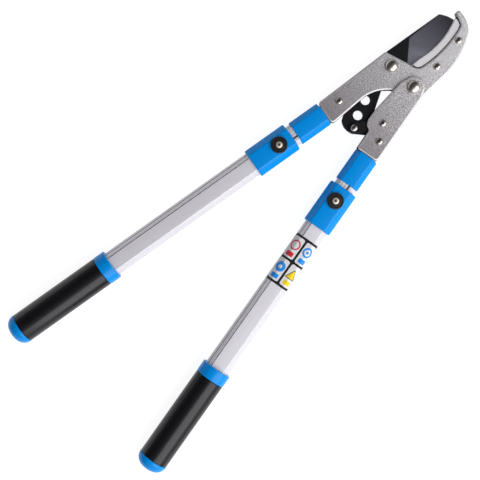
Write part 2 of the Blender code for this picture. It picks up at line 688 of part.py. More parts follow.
def main():
    head = make_seat("head_middle", (*PIVOT_MIDDLE, MID_HEIGHT))
    blade_seat = make_seat("blade_axis", (*BLADE_PIVOT, 0), parent=head)
    link_seat = make_seat("link_axis", (*near(LEVER_JOINT, BLADE_PIVOT), 0), parent=blade_seat)
    arm_seat = make_seat("arm_axis", (*MAIN_PIVOT, 0), parent=head)
    make_plates(head, link_seat, arm_seat)
    make_blade(blade_seat)
    make_inner_pieces(head)
    make_head_fasteners(head, blade_seat, arm_seat)
    turn_a, turn_b = 180 - HANDLE_ANGLE, 180 + HANDLE_ANGLE
    handle_a = make_seat("handle_a_axis", (*BLADE_PIVOT, 0), turn_a, head)
    handle_b = make_seat("handle_b_axis", (0, 0, 0), turn_b, arm_seat)
    make_handle("a", 1, BLADE_PIVOT, handle_a)
    make_label(make_handle("b", -1, MAIN_PIVOT, handle_b))


clear_scene()
MATERIALS = {name: make_finish(name, *values) for name, values in FINISHES.items()}
main()
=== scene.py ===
"""Looks of the telescopic anvil loppers: fine meshes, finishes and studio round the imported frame.

Lengths are in millimetres and angles in degrees, and MM turns them into metres where
a mesh is made. Head coordinates are (x, y) from the point midway between the two
pivots. Handle coordinates run from a pivot out along the handle, with z up.
"""

import json
from math import atan2, cos, degrees, hypot, pi, radians, sin, tan

import bmesh
import bpy
from mathutils import Matrix, Vector
from mathutils.geometry import delaunay_2d_cdt


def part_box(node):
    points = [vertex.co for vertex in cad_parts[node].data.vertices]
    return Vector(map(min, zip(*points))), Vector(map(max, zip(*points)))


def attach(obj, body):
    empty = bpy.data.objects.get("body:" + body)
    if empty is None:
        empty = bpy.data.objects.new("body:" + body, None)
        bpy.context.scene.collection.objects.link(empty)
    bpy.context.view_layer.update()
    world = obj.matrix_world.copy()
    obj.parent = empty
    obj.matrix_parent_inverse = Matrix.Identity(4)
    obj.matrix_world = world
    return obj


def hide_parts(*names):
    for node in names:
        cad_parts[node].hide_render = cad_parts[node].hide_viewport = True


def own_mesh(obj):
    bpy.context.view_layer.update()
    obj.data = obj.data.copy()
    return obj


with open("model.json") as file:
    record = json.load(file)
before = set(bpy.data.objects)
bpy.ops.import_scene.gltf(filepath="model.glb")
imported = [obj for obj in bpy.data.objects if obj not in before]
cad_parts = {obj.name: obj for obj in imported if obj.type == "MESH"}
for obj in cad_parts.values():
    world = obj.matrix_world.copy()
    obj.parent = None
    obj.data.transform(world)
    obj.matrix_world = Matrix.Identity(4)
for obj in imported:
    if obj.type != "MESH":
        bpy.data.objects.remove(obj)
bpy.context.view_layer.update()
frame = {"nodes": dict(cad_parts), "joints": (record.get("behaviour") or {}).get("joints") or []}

MM = 0.001
GAP = 0.3  # clearance that the CAD leaves between pieces
SEAT_GAP = GAP / 3  # between a head or cap and what it sits on
JOINTS = {joint["name"]: joint for joint in frame["joints"]}
PIVOT_A = Vector(JOINTS["blade_swing"]["pos_m"])
PIVOT_B = Vector(JOINTS["handle_b_swing"]["pos_m"])
HEAD = Matrix.Translation((PIVOT_A + PIVOT_B) / 2)
HALF_PIVOTS = (PIVOT_A - PIVOT_B).length / 2 / MM

# Head
MAIN_PIVOT = (0.0, -HALF_PIVOTS)
BLADE_PIVOT = (0.0, HALF_PIVOTS)
PLATE_ROUND = (2.2, 1.2)  # how far a stamped plate's outer edge is rounded: across, down
THIN_ROUND = (0.4, 0.4)
RIM_STEPS = 5
RIM_BANDS = [2] * (RIM_STEPS + 3) + [1] * (RIM_STEPS - 1) + [0]  # painted shade on the wall, painted highlight on the rounded edge, plain face
HOLE_SIDES = 40
HOLE_BEVEL = 0.3
PIVOT_HOLE, SCREW_HOLE, LINK_HOLE, BUSH_HOLE = 4.3, 2.6, 4.0, 6.6  # radii
PIVOT_SHANK, SCREW_SHANK = 4.0, 2.3  # radii
LINK_END_RADIUS = 6.6
SCREW_RECESS = (2.8, 1.25, 1.5)  # reach, width and depth of the cross
BUTTON_SCREW_RECESS = (2.3, 1.5, 1.1)

# Handles
AXIS_OFFSET = {"a": 0.6, "b": 1.5}
SIDE = {"a": 1, "b": -1}
PIVOT = {"a": PIVOT_A, "b": PIVOT_B}
FIXED_BODY = {"a": "anvil_arm", "b": "arm_b"}


# Materials


def node(tree, kind, **sockets):
    made = tree.nodes.new(kind)
    for name, value in sockets.items():
        made.inputs[name.replace("_", " ")].default_value = value
    return made


def noise(tree, scale, detail=2.0, stretch=(1, 1, 1)):
    """Noise through the piece's own coordinates; scale is in cells for each metre."""
    place = node(tree, "ShaderNodeTexCoord")
    mapping = node(tree, "ShaderNodeMapping", Scale=stretch)
    pattern = node(tree, "ShaderNodeTexNoise", Scale=scale, Detail=detail)
    tree.links.new(place.outputs["Object"], mapping.inputs["Vector"])
    tree.links.new(mapping.outputs["Vector"], pattern.inputs["Vector"])
    return pattern.outputs["Fac"]


def remap(tree, value, low, high, to_low, to_high):
    ranged = node(tree, "ShaderNodeMapRange", From_Min=low, From_Max=high)
    ranged.inputs["To Min"].default_value = to_low
    ranged.inputs["To Max"].default_value = to_high
    tree.links.new(value, ranged.inputs["Value"])
    return ranged.outputs["Result"]


def blend(tree, factor, first, second):
    """A colour between two; either may be a colour or another node's output."""
    mix = tree.nodes.new("ShaderNodeMix")
    mix.data_type = "RGBA"
    sockets = [s for s in mix.inputs if s.type == "RGBA"]
    for socket, colour in zip(sockets, (first, second)):
        if isinstance(colour, tuple):
            socket.default_value = (*colour, 1.0)
        else:
            tree.links.new(colour, socket)
    tree.links.new(factor, mix.inputs["Factor"])
    return next(s for s in mix.outputs if s.type == "RGBA")


def bump(tree, shader, heights):
    """Bumps on the surface, from (height pattern, depth in millimetres) pairs."""
    normal = None
    for height, depth in heights:
        made = node(tree, "ShaderNodeBump", Distance=depth * MM)
        tree.links.new(height, made.inputs["Height"])
        if normal:
            tree.links.new(normal, made.inputs["Normal"])
        normal = made.outputs["Normal"]
    tree.links.new(normal, shader.inputs["Normal"])


def finish(name, metallic=0.0, roughness=0.5, **sockets):
    material = bpy.data.materials.new(name)
    material.use_nodes = True
    shader = material.node_tree.nodes["Principled BSDF"]
    shader.inputs["Metallic"].default_value = metallic
    shader.inputs["Roughness"].default_value = roughness
    for socket, value in sockets.items():
        shader.inputs[socket.replace("_", " ")].default_value = value
    return material, material.node_tree, shader


def grainy(name, dark, light, scale, depth, rough, metallic=0.0, stretch=(1, 1, 1), **sockets):
    """A finish whose colour, roughness and relief follow one grain and a broader drift."""
    material, tree, shader = finish(name, metallic, **sockets)
    fine = noise(tree, scale, 2.0, stretch)
    broad = noise(tree, scale / 30, 2.0, stretch)
    colour = blend(tree, remap(tree, fine, 0.3, 0.7, 0, 1), dark, light)
    middle = tuple((a + b) / 2 for a, b in zip(dark, light))
    colour = blend(tree, remap(tree, broad, 0.3, 0.7, 0.0, 0.45), colour, middle)
    tree.links.new(colour, shader.inputs["Base Color"])
    tree.links.new(remap(tree, fine, 0.3, 0.7, *rough), shader.inputs["Roughness"])
    bump(tree, shader, [(fine, depth)])
    return material


def along_head(tree):
    """Distance along the head from the tail of the jaw plate (0) to the jaw's tip (1)."""
    place = node(tree, "ShaderNodeTexCoord")
    parts = node(tree, "ShaderNodeSeparateXYZ")
    tree.links.new(place.outputs["Object"], parts.inputs["Vector"])
    return remap(tree, parts.outputs["X"], -0.1, 0.108, 0, 1)


def plate_steel():
    """Blasted steel: light and dark grains about a millimetre across, with painted shade at the tail
    and painted light towards the jaw.
    """
    material, tree, shader = finish("plate_steel", 0.75)
    coarse, fine = noise(tree, 930, 1.0), noise(tree, 2200, 1.0)
    cloud = noise(tree, 30, 1.0)
    along = along_head(tree)
    colour = blend(tree, remap(tree, coarse, 0.40, 0.58, 0, 1), (0.24, 0.23, 0.24), (1.0, 0.98, 1.0))
    colour = blend(tree, remap(tree, fine, 0.35, 0.65, 0.0, 0.35), colour, (0.62, 0.61, 0.62))
    colour = blend(tree, remap(tree, cloud, 0.35, 0.7, 0.0, 0.06), colour, (0.42, 0.41, 0.42))
    # painted shade: darker and browner towards the tail
    colour = blend(tree, remap(tree, along, 0.0, 0.6, 0.72, 0.0), colour, (0.20, 0.17, 0.19))
    # painted light: lighter towards the jaw's tip
    colour = blend(tree, remap(tree, along, 0.5, 1.0, 0.0, 0.4), colour, (0.86, 0.85, 0.87))
    tree.links.new(colour, shader.inputs["Base Color"])
    tree.links.new(remap(tree, coarse, 0.3, 0.7, 0.38, 0.55), shader.inputs["Roughness"])
    bump(tree, shader, [(coarse, 0.05), (fine, 0.02)])
    return material


def ground_bevel():
    """The satin grind of the blade, with painted shade darkening it towards its tip."""
    material, tree, shader = finish("ground_bevel", 0.8, 0.34)
    fine = noise(tree, 900, 2.0, (3, 0.2, 1))
    colour = blend(tree, fine, (0.17, 0.17, 0.21), (0.22, 0.22, 0.27))
    # painted shade: the bevel is darkened towards its tip
    tip = remap(tree, along_head(tree), 0.58, 0.92, 0.0, 0.93)
    colour = blend(tree, tip, colour, (0.018, 0.015, 0.020))
    tree.links.new(colour, shader.inputs["Base Color"])
    bump(tree, shader, [(fine, 0.004)])
    return material


LABEL_INKS = {
    "label_black": (0.010, 0.010, 0.010),
    "label_white": (0.74, 0.73, 0.75),
    "label_red": (0.62, 0.02, 0.04),
    "label_blue": (0.01, 0.27, 0.80),
    "label_yellow": (0.85, 0.60, 0.01),
}
INK_SHADE = 0.94  # an ink's darker grains, as a share of its colour
SPECULAR = "Specular_IOR_Level"
GRAINY = (
    # name, dark, light, cells for each metre, depth, roughness, metallic, other settings
    # a lighter finish that paints a highlight on the plates' rounded edges
    ("painted_edge_highlight", (0.56, 0.55, 0.56), (0.66, 0.65, 0.66), 900, 0.01, (0.46, 0.54), 0.75, {}),
    # a near-black finish that paints shade on plate walls, the anvil's body, grooves and cross
    # recesses
    ("painted_shade", (0.020, 0.018, 0.020), (0.045, 0.042, 0.045), 700, 0.02, (0.45, 0.6), 0.4, {}),
    (
        "blade_coating", (0.004, 0.004, 0.006), (0.007, 0.007, 0.010), 1500, 0.006, (0.36, 0.48),
        0.0, {SPECULAR: 0.18},
    ),
    ("anvil_metal", (0.72, 0.70, 0.73), (0.80, 0.78, 0.81), 900, 0.006, (0.42, 0.52), 0.3, {}),
    ("chrome", (0.48, 0.445, 0.405), (0.58, 0.54, 0.50), 700, 0.004, (0.20, 0.26), 1.0, {}),
    ("nickel", (0.55, 0.49, 0.42), (0.68, 0.61, 0.53), 900, 0.01, (0.4, 0.5), 0.7, {}),
    ("cast_metal", (0.26, 0.26, 0.27), (0.38, 0.38, 0.39), 700, 0.05, (0.45, 0.6), 0.9, {}),
    ("bronze", (0.40, 0.26, 0.10), (0.50, 0.34, 0.15), 500, 0.02, (0.35, 0.5), 0.95, {}),
    ("spring_steel", (0.42, 0.42, 0.42), (0.56, 0.56, 0.56), 900, 0.01, (0.25, 0.4), 1.0, {}),
    (
        "blue_plastic", (0.0, 0.25, 0.72), (0.0, 0.28, 0.80), 1400, 0.004, (0.17, 0.23),
        0.0, {SPECULAR: 0.22},
    ),
    (
        "tube_aluminium", (0.67, 0.655, 0.70), (0.71, 0.695, 0.74), 900, 0.002, (0.42, 0.5),
        0.3, {"stretch": (0.02, 1, 1)},
    ),
    (
        "black_plastic", (0.007, 0.006, 0.006), (0.012, 0.011, 0.010), 1200, 0.01, (0.25, 0.36),
        0.0, {SPECULAR: 0.4},
    ),
    # a lighter finish that paints a highlight on the button's ridges
    ("painted_ridge_sheen", (0.016, 0.015, 0.014), (0.03, 0.028, 0.027), 1200, 0.01, (0.3, 0.4), 0.0, {}),
    (
        "grip_rubber", (0.004, 0.004, 0.006), (0.007, 0.007, 0.009), 1600, 0.02, (0.20, 0.26),
        0.0, {SPECULAR: 0.38},
    ),
)


def make_finishes():
    made = {"plate_steel": plate_steel(), "ground_bevel": ground_bevel()}
    for name, *look, more in GRAINY:
        made[name] = grainy(name, *look, **more)
    for name, colour in LABEL_INKS.items():
        dark = tuple(c * INK_SHADE for c in colour)
        made[name] = grainy(name, dark, colour, 1000, 0.002, (0.3, 0.38), **{SPECULAR: 0.25})
    return made


# Outlines, as lists of (x, y)


def arc(centre, radius, start, end, steps):
    angles = [radians(start + (end - start) * i / steps) for i in range(steps + 1)]
    return [(centre[0] + radius * cos(a), centre[1] + radius * sin(a)) for a in angles]


def circle(centre, radius, sides):
    return arc(centre, radius, 0, 360 - 360 / sides, sides - 1)


def bow(first, middle, last, steps=24):
    """Points of the circular arc that runs from first through middle to last."""
    (ax, ay), (bx, by), (cx, cy) = first, middle, last
    d = 2 * (ax * (by - cy) + bx * (cy - ay) + cx * (ay - by))
    a2, b2, c2 = ax * ax + ay * ay, bx * bx + by * by, cx * cx + cy * cy
    ux = (a2 * (by - cy) + b2 * (cy - ay) + c2 * (ay - by)) / d
    uy = (a2 * (cx - bx) + b2 * (ax - cx) + c2 * (bx - ax)) / d
    start = degrees(atan2(ay - uy, ax - ux))
    via = (degrees(atan2(by - uy, bx - ux)) - start) % 360
    sweep = (degrees(atan2(cy - uy, cx - ux)) - start) % 360
    if via > sweep:
        sweep -= 360
    return arc((ux, uy), hypot(ax - ux, ay - uy), start, start + sweep, steps)


def rounded(corners, steps=8):
    """The outline through the corners; a corner's third number rounds it."""
    points = []
    for i, corner in enumerate(corners):
        here = Vector(corner[:2])
        if len(corner) == 2:
            points.append(tuple(here))
            continue
        before = (Vector(corners[i - 1][:2]) - here).normalized()
        after = (Vector(corners[(i + 1) % len(corners)][:2]) - here).normalized()
        half = before.angle(after) / 2
        centre = here + (before + after).normalized() * corner[2] / sin(half)
        reach = corner[2] / tan(half)
        first, last = here + before * reach - centre, here + after * reach - centre
        turn = pi - 2 * half
        for k in range(steps + 1):
            f = k / steps
            spoke = (first * sin((1 - f) * turn) + last * sin(f * turn)) / sin(turn)
            points.append(tuple(centre + spoke))
    return points


def tidied(outline, least=0.05):
    """The outline without doubled points, running anticlockwise."""
    kept = []
    for point in outline:
        if not kept or hypot(point[0] - kept[-1][0], point[1] - kept[-1][1]) > least:
            kept.append(tuple(point))
    if hypot(kept[0][0] - kept[-1][0], kept[0][1] - kept[-1][1]) <= least:
        kept.pop()
    pairs = zip(kept, kept[1:] + kept[:1])
    area = sum(a[0] * b[1] - b[0] * a[1] for a, b in pairs)
    return kept if area > 0 else kept[::-1]


def inset(outline, by):
    """An anticlockwise outline moved inwards; by may be one distance or one for each point."""
    moved = []
    for i, point in enumerate(outline):
        here = Vector(point)
        before = (here - Vector(outline[i - 1])).normalized()
        after = (Vector(outline[(i + 1) % len(outline)]) - here).normalized()
        along = (before + after).normalized()
        lean = max(along.dot(after), 0.4)
        step = (by[i] if isinstance(by, list) else by) / lean
        moved.append((here.x - along.y * step, here.y + along.x * step))
    return moved


def resampled(path, count):
    """The path as count equal steps."""
    lengths = [0.0]
    for a, b in zip(path, path[1:]):
        lengths.append(lengths[-1] + hypot(b[0] - a[0], b[1] - a[1]))
    points, k = [], 0
    for i in range(count + 1):
        along = lengths[-1] * i / count
        while k < len(path) - 2 and lengths[k + 1] < along:
            k += 1
        f = (along - lengths[k]) / (lengths[k + 1] - lengths[k])
        a, b = path[k], path[k + 1]
        points.append((a[0] + (b[0] - a[0]) * f, a[1] + (b[1] - a[1]) * f))
    return points


# Mesh building, on bmeshes in millimetres


def bridge(mesh, rows, ring_shaped=False, open_rows=False):
    """Quads between rows of vertices."""
    pairs = list(zip(rows, rows[1:]))
    if ring_shaped:
        pairs.append((rows[-1], rows[0]))
    for first, second in pairs:
        count = len(first)
        for i in range(count - 1 if open_rows else count):
            j = (i + 1) % count
            corners = list(dict.fromkeys((first[i], first[j], second[j], second[i])))
            if len(corners) > 2:
                mesh.faces.new(corners)


def cap(mesh, rim, holes=()):
    """Flat triangles inside a rim of vertices, with (ring, x, y, radius) holes left open."""
    verts, loops = list(rim), [list(range(len(rim)))]
    for ring, _, _, _ in holes:
        loops.append(list(range(len(verts), len(verts) + len(ring))))
        verts += ring
    points = [Vector((v.co.x, v.co.y)) for v in verts]
    _, _, triangles, origin, _, _ = delaunay_2d_cdt(points, [], loops, 1, 0.0001)
    for triangle in triangles:
        corners = [verts[origin[i][0]] for i in triangle]
        middle = sum((v.co for v in corners), Vector()) / 3
        if not any(hypot(middle.x - x, middle.y - y) < r for _, x, y, r in holes):
            mesh.faces.new(corners)


def piece(name, mesh, place, slots, body, nodes, smooth=35):
    """Makes a bmesh a piece that stands for CAD nodes and moves with a body."""
    bmesh.ops.remove_doubles(mesh, verts=mesh.verts, dist=0.002)
    bmesh.ops.recalc_face_normals(mesh, faces=mesh.faces)
    bmesh.ops.scale(mesh, vec=(MM, MM, MM), verts=mesh.verts)
    data = bpy.data.meshes.new(name)
    mesh.to_mesh(data)
    mesh.free()
    data.shade_smooth()
    data.set_sharp_from_angle(angle=radians(smooth))
    for slot in slots:
        data.materials.append(FINISHES[slot])
    thing = bpy.data.objects.new(name, data)
    bpy.context.collection.objects.link(thing)
    thing.matrix_world = place
    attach(thing, body)
    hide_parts(*nodes)
    return thing


def rim_profile(low, high, low_round, high_round):
    """(inset, z) up the rim of a plate; each round is (across, down)."""
    lower, upper = [], []
    for i in range(RIM_STEPS + 1):
        a = radians(90 * i / RIM_STEPS)
        lower.append((low_round[0] * (1 - sin(a)), low + low_round[1] * (1 - cos(a))))
        upper.append((high_round[0] * (1 - cos(a)), high - high_round[1] * (1 - sin(a))))
    first = (low_round[0] + 0.1, low)
    last = (high_round[0] + 0.1, high)
    return [first, *lower, *upper, last]


def plate(outline, profile, holes=(), banding=None):
    """A flat piece with a shaped rim and chamfered round holes (x, y, radius).

    banding gives a finish number for each step of the rim's profile.
    """
    outline = tidied(outline)
    mesh = bmesh.new()
    rows = [[mesh.verts.new((*p, z)) for p in inset(outline, by)] for by, z in profile]
    for k, pair in enumerate(zip(rows, rows[1:])):
        before = len(mesh.faces)
        bridge(mesh, pair)
        for face in list(mesh.faces)[before:]:
            face.material_index = banding[k] if banding else 0
    lows, highs = drilled(mesh, holes, profile[0][1], profile[-1][1])
    cap(mesh, rows[0], lows)
    cap(mesh, rows[-1], highs)
    return mesh


def drilled(mesh, holes, low, high):
    """The walls of round holes, and their lower and upper rims."""
    lows, highs = [], []
    for x, y, radius in holes:
        stack = [(HOLE_BEVEL, low), (0, low + HOLE_BEVEL)]
        stack += [(0, high - HOLE_BEVEL), (HOLE_BEVEL, high)]
        rows = []
        for more, z in stack:
            ring = circle((x, y), radius + more, HOLE_SIDES)
            rows.append([mesh.verts.new((*p, z)) for p in ring])
        bridge(mesh, rows)
        lows.append((rows[0], x, y, radius))
        highs.append((rows[-1], x, y, radius))
    return lows, highs


def flipped(mesh):
    """The same piece on the far side of the mid-plane."""
    bmesh.ops.scale(mesh, vec=(1, 1, -1), verts=mesh.verts)
    return mesh


def turned(profile, sides=56, ring_shaped=False, place=(0, 0)):
    """A round solid on a vertical axis, from (radius, height) pairs."""
    mesh = bmesh.new()
    rows = []
    for radius, z in profile:
        rows.append([mesh.verts.new((*p, z)) for p in circle(place, radius, sides)])
    bridge(mesh, rows, ring_shaped)
    if not ring_shaped:
        mesh.faces.new(rows[0])
        mesh.faces.new(rows[-1])
    return mesh


def carve(mesh, cutter):
    """A bmesh with a cutter bmesh taken away from it."""
    things = []
    for part in (mesh, cutter):
        bmesh.ops.recalc_face_normals(part, faces=part.faces)
        data = bpy.data.meshes.new("carving")
        part.to_mesh(data)
        part.free()
        thing = bpy.data.objects.new("carving", data)
        bpy.context.collection.objects.link(thing)
        things.append(thing)
    boolean = things[0].modifiers.new("Cut", "BOOLEAN")
    boolean.operation = "DIFFERENCE"
    boolean.object = things[1]
    graph = bpy.context.evaluated_depsgraph_get()
    result = bmesh.new()
    evaluated = things[0].evaluated_get(graph)
    result.from_mesh(evaluated.to_mesh())
    evaluated.to_mesh_clear()
    for thing in things:
        data = thing.data
        bpy.data.objects.remove(thing)
        bpy.data.meshes.remove(data)
    return result


def levels(name):
    """A CAD node's lowest and highest point, in millimetres from the mid-plane."""
    low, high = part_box(name)
    middle = PIVOT_A.z
    return (low.z - middle) / MM, (high.z - middle) / MM


def own_box(name, place):
    """A CAD node's lowest and highest corner in a handle's own axes, in millimetres."""
    back = place.inverted()
    points = [(back @ v.co) / MM for v in frame["nodes"][name].data.vertices]
    return [Vector([pick(p[k] for p in points) for k in range(3)]) for pick in (min, max)]


def spot(name):
    """The middle of a CAD node in head coordinates."""
    low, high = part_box(name)
    middle = HEAD.inverted() @ ((low + high) / 2) / MM
    return (middle.x, middle.y)


# Head


def jaw_outline():
    lower = bow((-57.4, 16.7), (-36.5, 10.9), (-19.7, -3.7))
    jaw = bow((99.0, -1.6), (97.9, -4.4), (95.6, -6.6), 8)
    jaw += bow((92.5, -7.6), (60.5, -11.8), (25.0, -8.3), 40)[:-1]
    jaw += bow((25.0, -8.3), (20.8, -4.7), (18.0, 1.5), 12)
    hook = bow((42.0, -36.2), (74.0, -30.6), (97.5, -19.4))
    hook += bow((97.5, -19.4), (105.6, -8.0), (108.4, 4.6))[1:]
    hook += bow((108.4, 4.6), (106.8, 9.4), (102.9, 8.2), 10)[1:]
    tail = [(7.4, 37.2, 3), (-94.6, 51.2, 2.5), (-99.3, 45.5, 2.5), (-103.7, 20.4, 5)]
    heel = [(-14.0, -22.0), (-4.0, -35.2)]
    return rounded([*tail, *lower, *heel, *hook, *jaw, (16.8, 7.5)])


def arm_outline():
    pivot_end = arc(MAIN_PIVOT, 13.9, -66, 62, 40)
    upper = [(-6.7, -2.9, 4), (-53, -4.8), (-68, -7, 6), (-74.6, -10.8, 4), (-77.2, -17.4, 2.8)]
    lower = [(-103.4, -22.3, 3.5), (-98.1, -52.6, 5), (-2.7, -35.4)]
    return rounded([*pivot_end, *upper, *lower])


def anvil_outline():
    curve = [(19.6, 1.6), *bow((33.4, -0.1), (65.2, -3.0), (97.1, 4.5), 40)]
    tip = [(97.9, 4.8), (102.7, 5.6, 1.5), (104.5, -4.5, 4)]
    root = [(96, -17.5, 6), (70, -27.5), (46, -31.5), (26, -28, 5), (16.5, -8), (16.6, 1.2, 1)]
    return rounded([*tip, *root]) + curve[:-1]


ANVIL_ROUND = (0.6, 0.5)
PAD_RISE, PAD_SINK = 1.3, 0.2  # over the anvil's face, and into it
PAD_FOOT, PAD_ROUND = (0.1, 0.1), (0.4, 0.35)


def pad_outline():
    """The anvil's raised strip, set in from the jaw's inner edge all along."""
    heel = [(19.9, 1.2, 1.0), (22.0, -4.3, 3)]
    inner = bow((26.2, -7.4), (60.5, -10.8), (93.0, -6.5), 40)
    tip = [(97.2, -4.2, 2), (98.6, -0.5, 1), (99.4, 4.4, 0.9)]
    edge = bow((97.1, 4.3), (65.2, -3.2), (33.4, -0.3), 40)
    return rounded([*heel, *inner, *tip, *edge])


def make_plates():
    """The two jaw plates, the two arm plates of handle b and the two links."""
    screws = [spot(name) for name in ("tang_screw_a", "anvil_screw_heel", "anvil_screw_tip")]
    jaw_holes = [(*BLADE_PIVOT, PIVOT_HOLE), (*MAIN_PIVOT, PIVOT_HOLE)]
    jaw_holes += [(*place, SCREW_HOLE) for place in screws]
    arm_holes = [(*MAIN_PIVOT, PIVOT_HOLE)]
    arm_holes += [(*spot(name), SCREW_HOLE) for name in ("link_screw", "tang_screw_b")]
    ends = (spot("lever_screw"), spot("link_screw"))
    turn = degrees(atan2(ends[1][1] - ends[0][1], ends[1][0] - ends[0][0]))
    link = arc(ends[1], LINK_END_RADIUS, turn - 90, turn + 90, 24)
    link += arc(ends[0], LINK_END_RADIUS, turn + 90, turn + 270, 24)
    link_holes = [(*ends[0], SCREW_HOLE), (*ends[1], LINK_HOLE)]
    kinds = [
        ("jaw_plate", "anvil_arm", "plate_steel", jaw_outline(), jaw_holes, PLATE_ROUND),
        ("arm_plate", "arm_b", "plate_steel", arm_outline(), arm_holes, PLATE_ROUND),
        ("link_plate", "link", "blade_coating", link, link_holes, THIN_ROUND),
    ]
    for name, body, slot, outline, holes, edge in kinds:
        low, high = levels(f"{name}_front")
        # the rim gets a painted highlight on its rounded edge and painted shade on its wall
        slots = [slot] if slot == "blade_coating" else [slot, "painted_edge_highlight", "painted_shade"]
        banding = RIM_BANDS if len(slots) > 1 else None
        for side in ("front", "rear"):
            mesh = plate(outline, rim_profile(low, high, THIN_ROUND, edge), holes, banding=banding)
            if side == "rear":
                mesh = flipped(mesh)
            piece(f"{name}_{side}_fine", mesh, HEAD, slots, body, [f"{name}_{side}"])


def make_anvil():
    low, high = levels("anvil")
    holes = [(*spot(f"anvil_screw_{end}"), SCREW_HOLE) for end in ("heel", "tip")]
    mesh = plate(anvil_outline(), rim_profile(low, high, ANVIL_ROUND, ANVIL_ROUND), holes)
    # the anvil's body under the pad is painted shade, so the gap beside the pad reads as a dark
    # shadow line
    for face in mesh.faces:
        face.material_index = 1
    pad_profile = rim_profile(high - PAD_SINK, high + PAD_RISE, PAD_FOOT, PAD_ROUND)
    for pad in (plate(pad_outline(), pad_profile), flipped(plate(pad_outline(), pad_profile))):
        data = bpy.data.meshes.new("pad")
        pad.to_mesh(data)
        pad.free()
        mesh.from_mesh(data)
        bpy.data.meshes.remove(data)
    piece("anvil_fine", mesh, HEAD, ["anvil_metal", "painted_shade"], "anvil_arm", ["anvil"])


BLADE_HOLES = ((-72.5, 5.7, 6.0), (-52.5, 12.4, 6.0))
BLADE_SOFT = 0.35  # how far the edges of the blade's body are softened
CREASE = [(17.0, 2.07), (17.9, 8.4), (41.1, 28.2), (78.0, 24.3), (88.8, 22.5)]
EDGE_HALF = 0.12  # half of what is left of the blade's thickness at its cutting edge
BEVEL_COLUMNS, BEVEL_ROWS = 60, 12
HEEL_COLUMNS = 14  # over which the edge thins from the body's thickness
TIP_BULGE = 1.2


def blade_outline(crease):
    back = [(88.8, 22.5), (87.4, 23.2), (3.0, 37.4, 6), (-14, 31, 10), (-84.0, 19.0, 7)]
    back = rounded([*back, (-90.8, 15.9)])
    end = bow((-90.8, 15.9), (-95.7, 3.4), (-92.2, -7.4), 16)[1:]
    lower = [(-82.6, -19.2, 2.5), (-30, 6.6), (-25, 8, 3), (-12, 3.5, 6), (10, 2.2)]
    lower = rounded([end[-1], *lower, CREASE[0]])
    return tidied(crease[:-1] + back + end + lower[1:-1])


def add_blade_body(mesh, crease, half):
    """The flat part of the blade, softened all round except along the crease."""
    outline = blade_outline(crease)
    on_crease = {(round(x, 3), round(y, 3)) for x, y in crease}
    soft = [0.0 if (round(x, 3), round(y, 3)) in on_crease else BLADE_SOFT for x, y in outline]
    outer = {}
    rims = {}
    for sign in (1, -1):
        rings = []
        for steps in (0, 1):
            points = inset(outline, [s * steps for s in soft])
            ring = [(*p, sign * (half - s * (1 - steps))) for p, s in zip(points, soft)]
            rings.append([mesh.verts.new(p) for p in ring])
        bridge(mesh, rings)
        outer[sign], rims[sign] = rings
    holes = [(*BLADE_PIVOT, BUSH_HOLE), (*spot("lever_screw"), SCREW_HOLE), *BLADE_HOLES]
    lows, highs = drilled(mesh, holes, -half, half)
    cap(mesh, rims[-1], lows)
    cap(mesh, rims[1], highs)
    for i in range(len(outline)):
        j = (i + 1) % len(outline)
        if soft[i] or soft[j]:
            mesh.faces.new((outer[1][i], outer[1][j], outer[-1][j], outer[-1][i]))


def add_blade_bevel(mesh, crease, half):
    """The ground bevel on both sides, from the cutting edge back to the crease."""
    edge = [(19.6, 2.0), *bow((33.4, 0.3), (65.2, -2.6), (97.1, 4.9), 60)]
    edge = resampled(edge, BEVEL_COLUMNS)
    sides = {}
    for sign in (1, -1):
        rows = []
        for k in range(BEVEL_ROWS + 1):
            t = k / BEVEL_ROWS
            row = []
            for i, (near_edge, near_back) in enumerate(zip(edge, crease)):
                x = near_edge[0] + (near_back[0] - near_edge[0]) * t
                y = near_edge[1] + (near_back[1] - near_edge[1]) * t
                x += TIP_BULGE * sin(pi * t) * (i / BEVEL_COLUMNS) ** 8
                thin = EDGE_HALF + (half - EDGE_HALF) * max(0, 1 - i / HEEL_COLUMNS)
                height = thin + (half - thin) * t
                row.append(mesh.verts.new((x, y, sign * height)))
            rows.append(row)
        bridge(mesh, rows, open_rows=True)
        sides[sign] = rows
    top, bottom = sides[1], sides[-1]
    bridge(mesh, [top[0], bottom[0]], open_rows=True)
    for column in (0, -1):
        ends = [[row[column] for row in rows] for rows in (top, bottom)]
        bridge(mesh, ends, open_rows=True)


def make_blade():
    """A flat body with softened edges, and a ground bevel down to the cutting edge."""
    half = levels("blade")[1]
    crease = resampled(CREASE, BEVEL_COLUMNS)
    mesh = bmesh.new()
    add_blade_body(mesh, crease, half)
    flat_faces = len(mesh.faces)
    add_blade_bevel(mesh, crease, half)
    for face in list(mesh.faces)[flat_faces:]:
        face.material_index = 1
    piece("blade_fine", mesh, HEAD, ["blade_coating", "ground_bevel"], "blade", ["blade"], smooth=8)


def cross_recess(top, reach, width, depth):
    """A cutter for a cross recess that narrows as it goes down."""
    mesh = bmesh.new()
    rows = []
    for size, z in ((0.45, top - depth), (1.0, top + 0.3)):
        r, w = reach * size, width / 2 * (0.6 + 0.4 * size)
        corners = [(r, -w), (r, w), (w, w), (w, r), (-w, r), (-w, w)]
        corners += [(-r, w), (-r, -w), (-w, -w), (-w, -r), (w, -r), (w, -w)]
        rows.append([mesh.verts.new((x, y, z)) for x, y in corners])
    bridge(mesh, rows)
    mesh.faces.new(rows[0])
    mesh.faces.new(rows[-1])
    return mesh


THREAD_LENGTH = 4.5  # at most
DOME_STEPS = 12
DOME_RIM = 0.5  # how high the dome starts above the underside of its head


